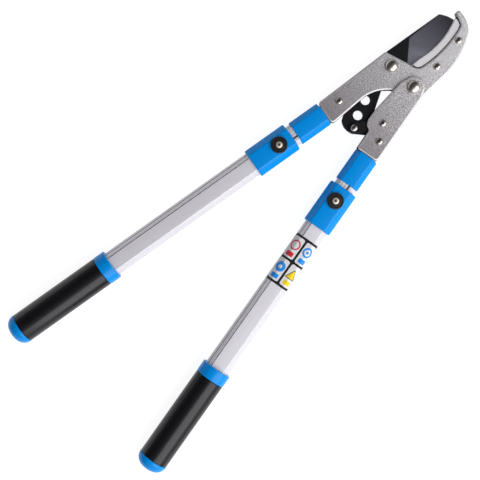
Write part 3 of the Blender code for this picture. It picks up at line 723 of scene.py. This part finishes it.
def dome_profile(shank, head, base, tip, top):
    """A screw from its threaded tip up: turned thread, plain shank and domed head."""
    profile = [(shank * 0.8, tip)]
    pitch = shank * 0.22
    count = int(min(THREAD_LENGTH, (base - tip) * 0.6) / pitch)
    for i in range(count):
        z = tip + pitch * (i + 0.3)
        profile += [(shank, z), (shank * 0.9, z + pitch / 2)]
    profile += [(shank, tip + pitch * (count + 0.3)), (shank, base)]
    profile += [(head - 0.3, base), (head, base + 0.25)]
    rise = top - base - DOME_RIM
    for i in range(DOME_STEPS):
        a = radians(90 * i / DOME_STEPS)
        profile.append((head * cos(a), base + DOME_RIM + rise * sin(a)))
    profile.append((head * 0.03, top))
    return profile


NUT_SIDES = 60
NUT_CHAMFER = 0.5
NUT_FACE = 0.86  # radius of a nut's round face, as a share of its corners' radius
NUT_LIP = 0.4  # chamfer of the bore
NUT_PLAY = 0.1  # between the bore and the shank


def nut_mesh(radius, bore, low, high):
    """A hexagon nut whose corners are chamfered on both faces."""
    rings = []
    stack = [(low, NUT_FACE), (low + NUT_CHAMFER, 1.0)]
    stack += [(high - NUT_CHAMFER, 1.0), (high, NUT_FACE)]
    for z, limit in stack:
        ring = []
        for i in range(NUT_SIDES):
            a = 2 * pi * i / NUT_SIDES
            flat = radius * cos(pi / 6) / cos((a + pi / 6) % (pi / 3) - pi / 6)
            r = min(flat, radius * limit) if limit < 1 else flat
            ring.append((r * cos(a), r * sin(a), z))
        rings.append(ring)
    wide = bore + NUT_LIP
    for z, r in ((high, wide), (high - NUT_LIP, bore), (low + NUT_LIP, bore), (low, wide)):
        rings.append([(x, y, z) for x, y in circle((0, 0), r, NUT_SIDES)])
    mesh = bmesh.new()
    rows = [[mesh.verts.new(p) for p in ring] for ring in rings]
    bridge(mesh, rows, ring_shaped=True)
    return mesh


RECESS_BELOW = 0.12  # a face this far under the dome belongs to the recess


def recessed(profile, top, head, rise, size):
    """A turned screw whose cross recess is painted shade; size is (reach, width, depth)."""
    mesh = carve(turned(profile), cross_recess(top, *size))
    reach, _, depth = size
    for face in mesh.faces:
        x, y, z = face.calc_center_median()
        r = hypot(x, y)
        if r < reach and z > top - 2 * depth:
            dome = top - rise + rise * (1 - (r / head) ** 2) ** 0.5
            if z < dome - RECESS_BELOW:
                # painted shade inside the recess
                face.material_index = 1
    return mesh


FASTENERS = (
    ("blade_pivot_bolt", "blade_pivot_nut", "jaw_plate", "anvil_arm"),
    ("main_pivot_bolt", "main_pivot_nut", "arm_plate", "anvil_arm"),
    ("anvil_screw_heel", "anvil_nut_heel", "jaw_plate", "anvil_arm"),
    ("anvil_screw_tip", "anvil_nut_tip", "jaw_plate", "anvil_arm"),
    ("tang_screw_a", "tang_nut_a", "jaw_plate", "anvil_arm"),
    ("tang_screw_b", "tang_nut_b", "arm_plate", "arm_b"),
    ("link_screw", "link_nut", "arm_plate", "arm_b"),
    ("lever_screw", "lever_nut", "link_plate", "blade"),
)


SCREW_TURN = 31  # degrees from one fastener to the next, so that no two look alike


def make_fasteners():
    for k, (screw, nut, under, body) in enumerate(FASTENERS):
        place = HEAD @ Matrix.Translation((*(c * MM for c in spot(screw)), 0))
        place = place @ Matrix.Rotation(radians(SCREW_TURN * k), 4, "Z")
        low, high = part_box(screw)
        radius = (high.x - low.x) / 2 / MM
        tip, top = levels(screw)
        base = levels(f"{under}_front")[1] + SEAT_GAP
        pivot = "bolt" in screw
        shank = PIVOT_SHANK if pivot else SCREW_SHANK
        profile = dome_profile(shank, radius, base, tip, top)
        if pivot:
            mesh = turned(profile)
        else:
            mesh = recessed(profile, top, radius, top - base - DOME_RIM, SCREW_RECESS)
        piece(f"{screw}_fine", mesh, place, ["chrome", "painted_shade"], body, [screw], smooth=40)
        low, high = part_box(nut)
        nut_radius = max(high.x - low.x, high.y - low.y) / 2 / MM
        bottom, top = levels(nut)
        mesh = nut_mesh(nut_radius, shank + NUT_PLAY, bottom, top)
        piece(f"{nut}_fine", mesh, place, ["chrome"], body, [nut], smooth=25)


# Handles


def notched(start, end, places, width, depth):
    """V grooves along a straight edge of a section, at shares of its length."""
    start, end = Vector(start), Vector(end)
    along = (end - start).normalized()
    inwards = Vector((along.y, -along.x))
    points = []
    for share in places:
        middle = start.lerp(end, share)
        for step, sink in ((-0.5, 0), (-0.2, 1), (0.2, 1), (0.5, 0)):
            points.append(tuple(middle + along * width * step + inwards * depth * sink))
    return points


CORNER_STEPS = 4
FLAT_GROWTH = 0.8  # how much an octagon's flats grow for each millimetre outwards


def octagon(width, height, flat, side, soft=1.0, crown=0.0, grooves=((), (), 0, 0)):
    """A flattened section with eight faces and rounded corners, as (y, z).

    crown bulges the two wide faces; grooves are (shares of the -y slope, shares
    of the top from -y, width, depth).
    """
    w, h, f, s = width / 2, height / 2 - crown, flat / 2, side / 2
    bulge = [(f * (0.8 - 0.2 * i), h) for i in range(9)] if crown else []
    slopes, tops, wide, deep = grooves
    corners = [(f, h, soft), (w, s, soft), (w, -s, soft)]
    corners += [(f, -h, soft), *[(y, -z) for y, z in bulge], (-f, -h, soft), (-w, -s, soft)]
    corners += [(-w, s, soft), *notched((-w, s), (-f, h), slopes, wide, deep), (-f, h, soft)]
    corners += [*notched((-f, h), (f, h), tops, wide, deep), *reversed(bulge)]
    points = rounded(corners, CORNER_STEPS)
    if crown:
        lift = [crown * max(0, 1 - (y / f) ** 2) for y, _ in points]
        points = [(y, z + (rise if z > 0 else -rise)) for (y, z), rise in zip(points, lift)]
    return points


def grown(section, by):
    """The octagon's sizes moved outwards by a distance."""
    width, height, flat, side = section
    slant = by * FLAT_GROWTH
    return (width + 2 * by, height + 2 * by, flat + slant, side + slant)


def lofted(rings, ring_shaped=True):
    """A solid through rings of (x, section)."""
    mesh = bmesh.new()
    rows = [[mesh.verts.new((x, y, z)) for y, z in section] for x, section in rings]
    bridge(mesh, rows, ring_shaped)
    if not ring_shaped:
        mesh.faces.new(rows[0])
        mesh.faces.new(rows[-1])
    return mesh


END_STEPS = 6


def soft_ends(start, end, soft):
    """(x, inset) along a sleeve whose two outer ends are rounded."""
    stations = []
    for i in range(END_STEPS + 1):
        a = radians(90 * i / END_STEPS)
        stations.append((start + soft * (1 - cos(a)), soft * (1 - sin(a))))
    mirrored = [(start + end - x, by) for x, by in reversed(stations)]
    return stations + mirrored


CROWN = 0.45  # how far a collar's wide faces bulge
NO_CROWN = 0.001  # gives a flat bore as many points as the crowned outside


def sleeve(size, ratio, bore, start, end, soft, corner):
    """A rounded octagonal sleeve; ratio gives its flats as shares of width and height."""
    width, height = size
    section = (width, height, width * ratio[0], height * ratio[1])
    rings = []
    for x, by in soft_ends(start, end, soft):
        ring = octagon(*grown(section, -by), max(corner - by * 0.5, 0.4), crown=CROWN)
        rings.append((x, ring))
    inner = octagon(*bore, 0.8, crown=NO_CROWN)
    rings += [(end, inner), (start, inner)]
    return lofted(rings)


INNER_TUBE = (27.4, 17.0, 16.6, 7.2)  # width, height, flat of the top, flat of the side
OUTER_TUBE = (31.4, 20.8, 17.8, 7.8)
COLLARS = (
    # kind, tube inside, flats as shares of width and height, rounding of ends and edges
    ("upper_collar", INNER_TUBE, (0.576, 0.377), 1.4, 2.2),
    ("lower_collar", OUTER_TUBE, (0.578, 0.416), 1.8, 3.0),
)
POCKET_SPAN = (10.2, 20)


def handle_place(letter):
    along = Vector(JOINTS[f"extend_{letter}"]["axis"])
    turn = Matrix.Rotation(atan2(along.y, along.x), 4, "Z")
    shift = Matrix.Translation((0, -SIDE[letter] * AXIS_OFFSET[letter] * MM, 0))
    return Matrix.Translation(PIVOT[letter]) @ turn @ shift


def button_pocket(letter, place):
    """A cutter for the round pocket that a lock button sinks into."""
    low, high = own_box(f"button_{letter}", place)
    centre = ((low.x + high.x) / 2, 0)
    radius = (high.x - low.x) / 2
    return turned([(radius + GAP, z) for z in POCKET_SPAN], 64, place=centre)


def make_collars(letter, place):
    for kind, tube, ratio, soft, corner in COLLARS:
        name = f"{kind}_{letter}"
        body = FIXED_BODY[letter]
        low, high = own_box(name, place)
        size = (high.y - low.y, high.z - low.z)
        mesh = sleeve(size, ratio, grown(tube, GAP), low.x, high.x, soft, corner)
        if kind == "lower_collar":
            body = f"grip_{letter}"
            mesh = carve(mesh, button_pocket(letter, place))
        piece(f"{name}_fine", mesh, place, ["blue_plastic"], body, [name])


KEY_GROOVE = (3.6, 2.2, 1.0)  # place, width and depth in the inner tube's top
TUBE_CORNER = 0.5
IN_GROOVE = (0.12, 1.3)  # depths under the plain section at which a face lies in a groove and gets painted shade
TUBES = (
    # name, section, wall, (shares of the -y slope, shares of the top, width, depth)
    ("inner", INNER_TUBE, 1.8, ((0.5,), (0.16, 0.44), 0.4, 0.4)),
    ("outer", OUTER_TUBE, 1.6, ((0.4,), (0.04,), 0.8, 0.5)),
)


def tube_mesh(kind, size, wall, grooves, start, end):
    """An extruded tube with fine lengthwise grooves, and a key groove in the inner one."""
    rings = []
    no_depth = (*grooves[:3], 0)
    skins = ((size, grooves, 1), (grown(size, -wall), no_depth, 0))
    for plain, fine, sink in skins:
        section = octagon(*plain, TUBE_CORNER, grooves=fine)
        if kind == "inner":
            y, width, depth = KEY_GROOVE
            top = max(z for _, z in section)
            floor = top - depth * sink
            section += [(y - width / 2, top), (y - width / 2, floor)]
            section += [(y + width / 2, floor), (y + width / 2, top)]
        rings.append(section)
    outer, inner = rings
    return lofted([(start, outer), (end, outer), (end, inner), (start, inner)])


def depth_inside(size, y, z):
    """How far a point of a section lies inside its plain octagon."""
    w, h, f, s = (length / 2 for length in size)
    normal = Vector((h - s, w - f)).normalized()
    y, z = abs(y), abs(z)
    return min(w - y, h - z, normal.dot(Vector((f - y, h - z))))


def make_tubes(letter, place):
    shallow, deep = IN_GROOVE
    for kind, size, wall, grooves in TUBES:
        name = f"{kind}_tube_{letter}"
        body = FIXED_BODY[letter] if kind == "inner" else f"grip_{letter}"
        low, high = own_box(name, place)
        mesh = tube_mesh(kind, size, wall, grooves, low.x, high.x)
        mesh.normal_update()
        for face in mesh.faces:
            middle = face.calc_center_median()
            depth = depth_inside(size, middle.y, middle.z)
            # faces inside the grooves get painted shade
            if abs(face.normal.x) < 0.5 and shallow < depth < deep:
                face.material_index = 1
        slots = ["tube_aluminium", "painted_shade"]
        piece(f"{name}_fine", mesh, place, slots, body, [name], smooth=20)


OVAL_SIDES = 72
GRIP_SOFT = {"grip_ring": 1.2, "grip": 0.8}  # rounding of the ends
CAP_STEPS = 16
CAP_RIM = 0.6  # how much of the cap is its straight foot


def oval(width, height):
    angles = [2 * pi * i / OVAL_SIDES for i in range(OVAL_SIDES)]
    return [(width / 2 * cos(a), height / 2 * sin(a)) for a in angles]


def make_grip(letter, place):
    body = f"grip_{letter}"
    hole = oval(OUTER_TUBE[0] + 2, OUTER_TUBE[1] + 8)
    for kind, slot in (("grip_ring", "blue_plastic"), ("grip", "grip_rubber")):
        name = f"{kind}_{letter}"
        low, high = own_box(name, place)
        width, height = high.y - low.y, high.z - low.z
        stations = soft_ends(low.x, high.x, GRIP_SOFT[kind])
        rings = [(x, oval(width - 2 * by, height - 2 * by)) for x, by in stations]
        rings += [(high.x, hole), (low.x, hole)]
        piece(f"{name}_fine", lofted(rings), place, [slot], body, [name])
    name = f"end_cap_{letter}"
    low, high = own_box(name, place)
    start = own_box(f"grip_{letter}", place)[1].x + SEAT_GAP
    width, height = high.y - low.y, high.z - low.z
    depth = high.x - start
    foot = ((0, 1.2), (0.2, 0.4))  # distance from the grip, and how much narrower it is
    rings = [(start + x, oval(width - less, height - less)) for x, less in foot]
    for i in range(CAP_STEPS):
        a = radians(90 * i / CAP_STEPS)
        size = cos(a) ** 0.75
        along = start + CAP_RIM + (depth - CAP_RIM) * sin(a)
        rings.append((along, oval(width * size, height * size)))
    rings.append((high.x, oval(width * 0.04, height * 0.04)))
    piece(f"{name}_fine", lofted(rings, False), place, ["blue_plastic"], body, [name])


SPRING_ROOM = (3.9, 8.4)  # inner and outer radius of the spring's room in the button
SPRING_TURNS, TURN_STEPS, WIRE_RADIUS = 3, 40, 0.45


def make_spring(letter, place):
    """The coil under a button, with closed ends, on a mesh of its own."""
    name = f"button_spring_{letter}"
    low, high = own_box(name, place)
    middle = (low + high) / 2
    coil = (high.x - low.x) / 2 - WIRE_RADIUS
    rise = high.z - low.z - 2 * WIRE_RADIUS
    wire = circle((coil, low.z + WIRE_RADIUS), WIRE_RADIUS, 12)
    mesh = bmesh.new()
    rows = []
    for i in range(SPRING_TURNS * TURN_STEPS + 1):
        turn = i / TURN_STEPS
        lift = rise * min(1, max(0, (turn - 0.4) / (SPRING_TURNS - 0.8)))
        a = 2 * pi * turn
        rows.append([mesh.verts.new((r * cos(a), r * sin(a), z + lift)) for r, z in wire])
    bridge(mesh, rows)
    mesh.faces.new(rows[0])
    mesh.faces.new(rows[-1])
    seat = place @ Matrix.Translation((middle.x * MM, middle.y * MM, 0))
    spring = piece(f"{name}_fine", mesh, seat, ["spring_steel"], f"grip_{letter}", [name])
    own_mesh(spring)


SPRING_ROOM_TOP = 1.6  # below the button's top
BUTTON_BORE, HUB_LIFT = 1.2, 1.25  # radius, and how far the hub stays above the underside
BUTTON_FOOT, BUTTON_EDGE, EDGE_STEPS = 0.2, 0.9, 6
DISH = (4.7, 4.5, 0.9)  # upper and lower radius, and depth
RIDGES, RIDGE_DEPTH = (8.0, 6.0), 0.7  # radii of the two ring grooves
PAINTED_SHEEN = (5, 8.8)  # radii between which the ridges' slopes get a painted highlight
BUTTON_SCREW_SHANK, BUTTON_SCREW_SEAT = 1.0, 16.25  # radius, and height of the seat


def make_button(letter, place):
    body = f"button_{letter}"
    low, high = own_box(body, place)
    centre = (low + high) / 2
    radius, base, top = (high.x - low.x) / 2, low.z, high.z
    seat = place @ Matrix.Translation((centre.x * MM, centre.y * MM, 0))
    hub, room = SPRING_ROOM
    ceiling = top - SPRING_ROOM_TOP
    profile = [(BUTTON_BORE, base + HUB_LIFT), (hub, base + HUB_LIFT), (hub, ceiling)]
    profile += [(room, ceiling), (room, base), (radius - BUTTON_FOOT, base)]
    profile.append((radius, base + BUTTON_FOOT))
    for i in range(EDGE_STEPS + 1):
        a = radians(90 * i / EDGE_STEPS)
        profile.append((radius - BUTTON_EDGE * (1 - cos(a)), top - BUTTON_EDGE * (1 - sin(a))))
    for ridge in RIDGES:
        floor = top - RIDGE_DEPTH
        profile += [(ridge + 0.7, top), (ridge + 0.45, floor)]
        profile += [(ridge - 0.25, floor), (ridge - 0.7, top - 0.1)]
    wide, narrow, depth = DISH
    profile += [(wide, top), (narrow, top - depth), (BUTTON_BORE, top - depth)]
    mesh = turned(profile, 72, ring_shaped=True)
    mesh.normal_update()
    # the ridges' slopes take a lighter finish: a painted highlight
    for face in mesh.faces:
        middle = face.calc_center_median()
        on_ridges = PAINTED_SHEEN[0] < hypot(middle.x, middle.y) < PAINTED_SHEEN[1]
        if on_ridges and middle.z > top - 0.8 and face.normal.z < 0.99:
            face.material_index = 1
    slots = ["black_plastic", "painted_ridge_sheen"]
    piece(f"{body}_fine", mesh, seat, slots, body, [body], smooth=25)
    screw = f"button_screw_{letter}"
    low, high = own_box(screw, place)
    head = (high.x - low.x) / 2
    base = BUTTON_SCREW_SEAT
    profile = dome_profile(BUTTON_SCREW_SHANK, head, base, low.z, high.z)
    mesh = recessed(profile, high.z, head, high.z - base - DOME_RIM, BUTTON_SCREW_RECESS)
    piece(f"{screw}_fine", mesh, seat, ["nickel", "painted_shade"], body, [screw], smooth=40)


# Label: coloured shapes wrapped round the top three faces of the tube


FOLD_HALF = 0.2  # half of the width over which the label bends round an edge of the tube


def on_tube(girth, lift):
    """(y, z) on the outer tube's skin, a distance round it from the middle of its top."""
    width, height, flat, side = OUTER_TUBE
    f, h = flat / 2, height / 2
    run, drop = width / 2 - f, h - side / 2
    slope = hypot(run, drop)
    normal = (drop / slope, run / slope)
    sign = 1 if girth > 0 else -1
    along = abs(girth)
    if along < f - FOLD_HALF:
        return girth, h + lift
    if along > f + FOLD_HALF:
        t = (along - f) / slope
        return sign * (f + run * t + normal[0] * lift), h - drop * t + normal[1] * lift
    t = (along - f + FOLD_HALF) / (2 * FOLD_HALF)
    a = (f - FOLD_HALF, h)
    end = FOLD_HALF / slope
    b = (f + run * end, h - drop * end)
    y = (1 - t) ** 2 * a[0] + 2 * t * (1 - t) * f + t * t * b[0]
    z = (1 - t) ** 2 * a[1] + 2 * t * (1 - t) * h + t * t * b[1]
    return sign * (y + normal[0] * lift * t), z + lift * (1 - t + normal[1] * t)


OUTLINE_STEP, FILL_STEP = 0.6, 0.8  # spacing of a printed shape's points


def shape_faces(mesh, outline, lift, index, hole=None):
    """One printed shape in label coordinates (x along the tube, girth round it)."""
    points = []
    for (ax, ay), (bx, by) in zip(outline, outline[1:] + outline[:1]):
        parts = max(1, int(hypot(bx - ax, by - ay) / OUTLINE_STEP))
        for k in range(parts):
            points.append(Vector((ax + (bx - ax) * k / parts, ay + (by - ay) * k / parts)))
    loops = [list(range(len(points)))]
    if hole:
        loops.append(list(range(len(points), len(points) + len(hole))))
        points += [Vector(p) for p in hole]
    xs, ys = [p.x for p in points], [p.y for p in points]
    left, low = min(xs), min(ys)
    for i in range(int((max(xs) - left) / FILL_STEP)):
        for j in range(int((max(ys) - low) / FILL_STEP)):
            points.append(Vector((left + (i + 0.53) * FILL_STEP, low + (j + 0.47) * FILL_STEP)))
    creases = []
    for girth in (-OUTER_TUBE[2] / 2, OUTER_TUBE[2] / 2):
        if min(ys) < girth < max(ys):
            creases.append((len(points), len(points) + 1))
            points += [Vector((min(xs) - 1, girth)), Vector((max(xs) + 1, girth))]
    flat, _, triangles, _, _, _ = delaunay_2d_cdt(points, creases, loops, 1, 0.001)
    verts = [mesh.verts.new((p.x, *on_tube(p.y, lift))) for p in flat]
    for triangle in triangles:
        middle = sum((flat[i] for i in triangle), Vector((0, 0))) / 3
        if hole and inside(middle, hole):
            continue
        mesh.faces.new([verts[i] for i in triangle]).material_index = index


def inside(point, outline):
    crossed = False
    for (ax, ay), (bx, by) in zip(outline, outline[1:] + outline[:1]):
        if (ay > point.y) != (by > point.y):
            crossed ^= point.x < ax + (point.y - ay) / (by - ay) * (bx - ax)
    return crossed


def box(left, right, low, high, radius):
    corners = [(left, low), (right, low), (right, high), (left, high)]
    return rounded([(*corner, radius) for corner in corners], 5)


LABEL_REACH = 17.6  # how far the label goes round the tube, each way from the top's middle
LABEL_BORDER = 3.0
FILM, CELL, BEHIND, SIGN, FRONT, DOT = 0.20, 0.26, 0.29, 0.31, 0.33, 0.35  # lifts off the tube
SIGNS = {  # (cell along the tube, side of the top): ink
    (0, -1): "label_red",
    (0, 1): "label_blue",
    (1, -1): "label_blue",
    (1, 1): "label_yellow",
}
DISC_RADIUS = 6.8
RING_HOLES = {(0, -1): 5.1, (0, 1): 4.4}  # radii; the disc of cell (1, -1) has none
RING_DOT, DISC_DOT = 2.0, 2.6


def triangle_sign(x, g, back, front, half, radius):
    """A triangle that points towards -x from a cell's middle."""
    corners = [(x - back, g), (x + front, g + half), (x + front, g - half)]
    return rounded([(*corner, radius) for corner in corners], 5)


def label_cells(mesh, low, high, white):
    """Four white cells; gives the middle of each."""
    half_border, middle = LABEL_BORDER / 2, (low + high) / 2
    spans = ((low + LABEL_BORDER, middle - half_border), (middle + half_border, high - LABEL_BORDER))
    cells = {}
    for i, (x0, x1) in enumerate(spans):
        for side in (-1, 1):
            g0, g1 = sorted((side * half_border, side * (LABEL_REACH - 0.2)))
            shape_faces(mesh, box(x0, x1, g0, g1, 2.2), CELL, white)
            cells[i, side] = ((x0 + x1) / 2, (g0 + g1) / 2)
    return cells


def make_label(place):
    low, high = own_box("label_b", place)
    mesh = bmesh.new()
    inks = list(LABEL_INKS)
    black, white = inks.index("label_black"), inks.index("label_white")
    shape_faces(mesh, box(low.x, high.x, -LABEL_REACH, LABEL_REACH, 0.6), FILM, black)
    cells = label_cells(mesh, low.x, high.x, white)
    for key, ink in SIGNS.items():
        x, g = cells[key]
        index = inks.index(ink)
        shape_faces(mesh, box(x + 6.5, x + 12.5, g - 5.2, g + 5.2, 0.8), SIGN, index)
        if ink == "label_yellow":
            shape_faces(mesh, triangle_sign(x, g, 11, 3.5, 7.6, 1), BEHIND, black)
            shape_faces(mesh, triangle_sign(x, g, 9, 2.6, 6.1, 0.5), FRONT, index)
            continue
        middle = (x - 3.5, g)
        hole = circle(middle, RING_HOLES[key], 36) if key in RING_HOLES else None
        shape_faces(mesh, circle(middle, DISC_RADIUS, 48), SIGN, index, hole)
        if hole is None:
            shape_faces(mesh, circle(middle, DISC_DOT, 24), DOT, white)
        if key == (0, 1):
            shape_faces(mesh, circle(middle, RING_DOT, 24), SIGN, index)
    piece("label_b_print", mesh, place, inks, "grip_b", ["label_b"])


def make_handles():
    for letter in ("a", "b"):
        place = handle_place(letter)
        make_collars(letter, place)
        make_tubes(letter, place)
        make_grip(letter, place)
        make_button(letter, place)
        make_spring(letter, place)
    make_label(handle_place("b"))


KEPT = {
    "blade_bush": "bronze",
    "pivot_spacer": "bronze",
    "tang": "cast_metal",
    "slide_bush": "black_plastic",
    "lock_pin": "chrome",
}


def dress_kept_nodes():
    """Procedural finishes for the CAD pieces that are shown as they are."""
    for name, slot in KEPT.items():
        for ending in ("", "_a", "_b"):
            thing = frame["nodes"].get(name + ending)
            if thing:
                thing.data.materials.clear()
                thing.data.materials.append(FINISHES[slot])


# Studio


WORLD_STOPS = (  # place from -Y to +Y, brightness
    (0.0, 0.4), (0.3, 0.6), (0.43, 0.38), (0.52, 0.12), (0.8, 0.04), (1.0, 0.3),
)
FLOOR_SIZE, FLOOR_DROP = 60, 0.0005  # metres
FLOOR_GLOW = 0.92
LAMPS = (
    # name, place, aim, size, watts
    ("key", (0.1, -1.0, 1.15), (0, 0, 0), (2.6, 1.2), 26),
    ("low", (0.0, -1.45, 0.62), (0, 0, 0), (2.8, 0.7), 4.5),
    ("edge", (0.0, 1.3, 0.22), (0, 0, 0.02), (3.0, 0.3), 2.5),
)


def soft_light(name, place, aim, size, power):
    data = bpy.data.lights.new(name, "AREA")
    data.shape = "RECTANGLE"
    data.size, data.size_y = size
    data.energy = power
    lamp = bpy.data.objects.new(name, data)
    bpy.context.collection.objects.link(lamp)
    lamp.location = place
    lamp.rotation_euler = (Vector(aim) - Vector(place)).to_track_quat("-Z", "Y").to_euler()


def make_world():
    """A dim studio, a little lighter towards -Y, so that metal shows its shape."""
    world = bpy.data.worlds.new("studio")
    bpy.context.scene.world = world
    world.use_nodes = True
    tree = world.node_tree
    place = node(tree, "ShaderNodeTexCoord")
    parts = node(tree, "ShaderNodeSeparateXYZ")
    tree.links.new(place.outputs["Generated"], parts.inputs["Vector"])
    ramp = tree.nodes.new("ShaderNodeValToRGB")
    shade = remap(tree, parts.outputs["Y"], -1, 1, 0, 1)
    tree.links.new(shade, ramp.inputs["Fac"])
    elements = ramp.color_ramp.elements
    while len(elements) < len(WORLD_STOPS):
        elements.new(0.5)
    for element, (place_along, value) in zip(elements, WORLD_STOPS):
        element.position = place_along
        element.color = (value, value, value * 1.02, 1)
    background = tree.nodes["Background"]
    tree.links.new(ramp.outputs["Color"], background.inputs["Color"])
    background.inputs["Strength"].default_value = 1.0


def make_floor():
    """A pale table lit a little from within, so that shadows on it stay soft."""
    bpy.ops.mesh.primitive_grid_add(
        size=FLOOR_SIZE, x_subdivisions=8, y_subdivisions=8, location=(0, 0, -FLOOR_DROP)
    )
    floor = bpy.context.object
    floor.name = "floor"
    material, tree, shader = finish("floor", 0.0, 0.9)
    tint = noise(tree, 3, 2.0)
    colour = blend(tree, tint, (0.22, 0.22, 0.22), (0.24, 0.24, 0.24))
    tree.links.new(colour, shader.inputs["Base Color"])
    shader.inputs["Emission Color"].default_value = (1, 1, 1, 1)
    shader.inputs["Emission Strength"].default_value = FLOOR_GLOW
    floor.data.materials.append(material)


def make_studio():
    make_world()
    make_floor()
    for lamp in LAMPS:
        soft_light(*lamp)
    bpy.context.scene.view_settings.view_transform = "Standard"


CAMERA_HEIGHT = 1.15  # above the tool's mid-plane, in metres like the next two
VIEW_WIDTH = 0.6  # what the frame takes in at the mid-plane
PIVOTS_TO_VIEW_MIDDLE = 0.2865
CAMERA_TURN = -45.1  # degrees


def make_camera():
    data = bpy.data.cameras.new("camera")
    data.sensor_width = 36
    data.lens = data.sensor_width * CAMERA_HEIGHT / VIEW_WIDTH
    data.clip_end = 20
    camera = bpy.data.objects.new("camera", data)
    bpy.context.collection.objects.link(camera)
    middle = HEAD.translation
    camera.location = (middle.x - PIVOTS_TO_VIEW_MIDDLE, middle.y, middle.z + CAMERA_HEIGHT)
    camera.rotation_euler = (0, 0, radians(CAMERA_TURN))
    bpy.context.scene.camera = camera


FINISHES = make_finishes()
make_plates()
make_anvil()
make_blade()
make_fasteners()
make_handles()
dress_kept_nodes()
make_studio()
make_camera()
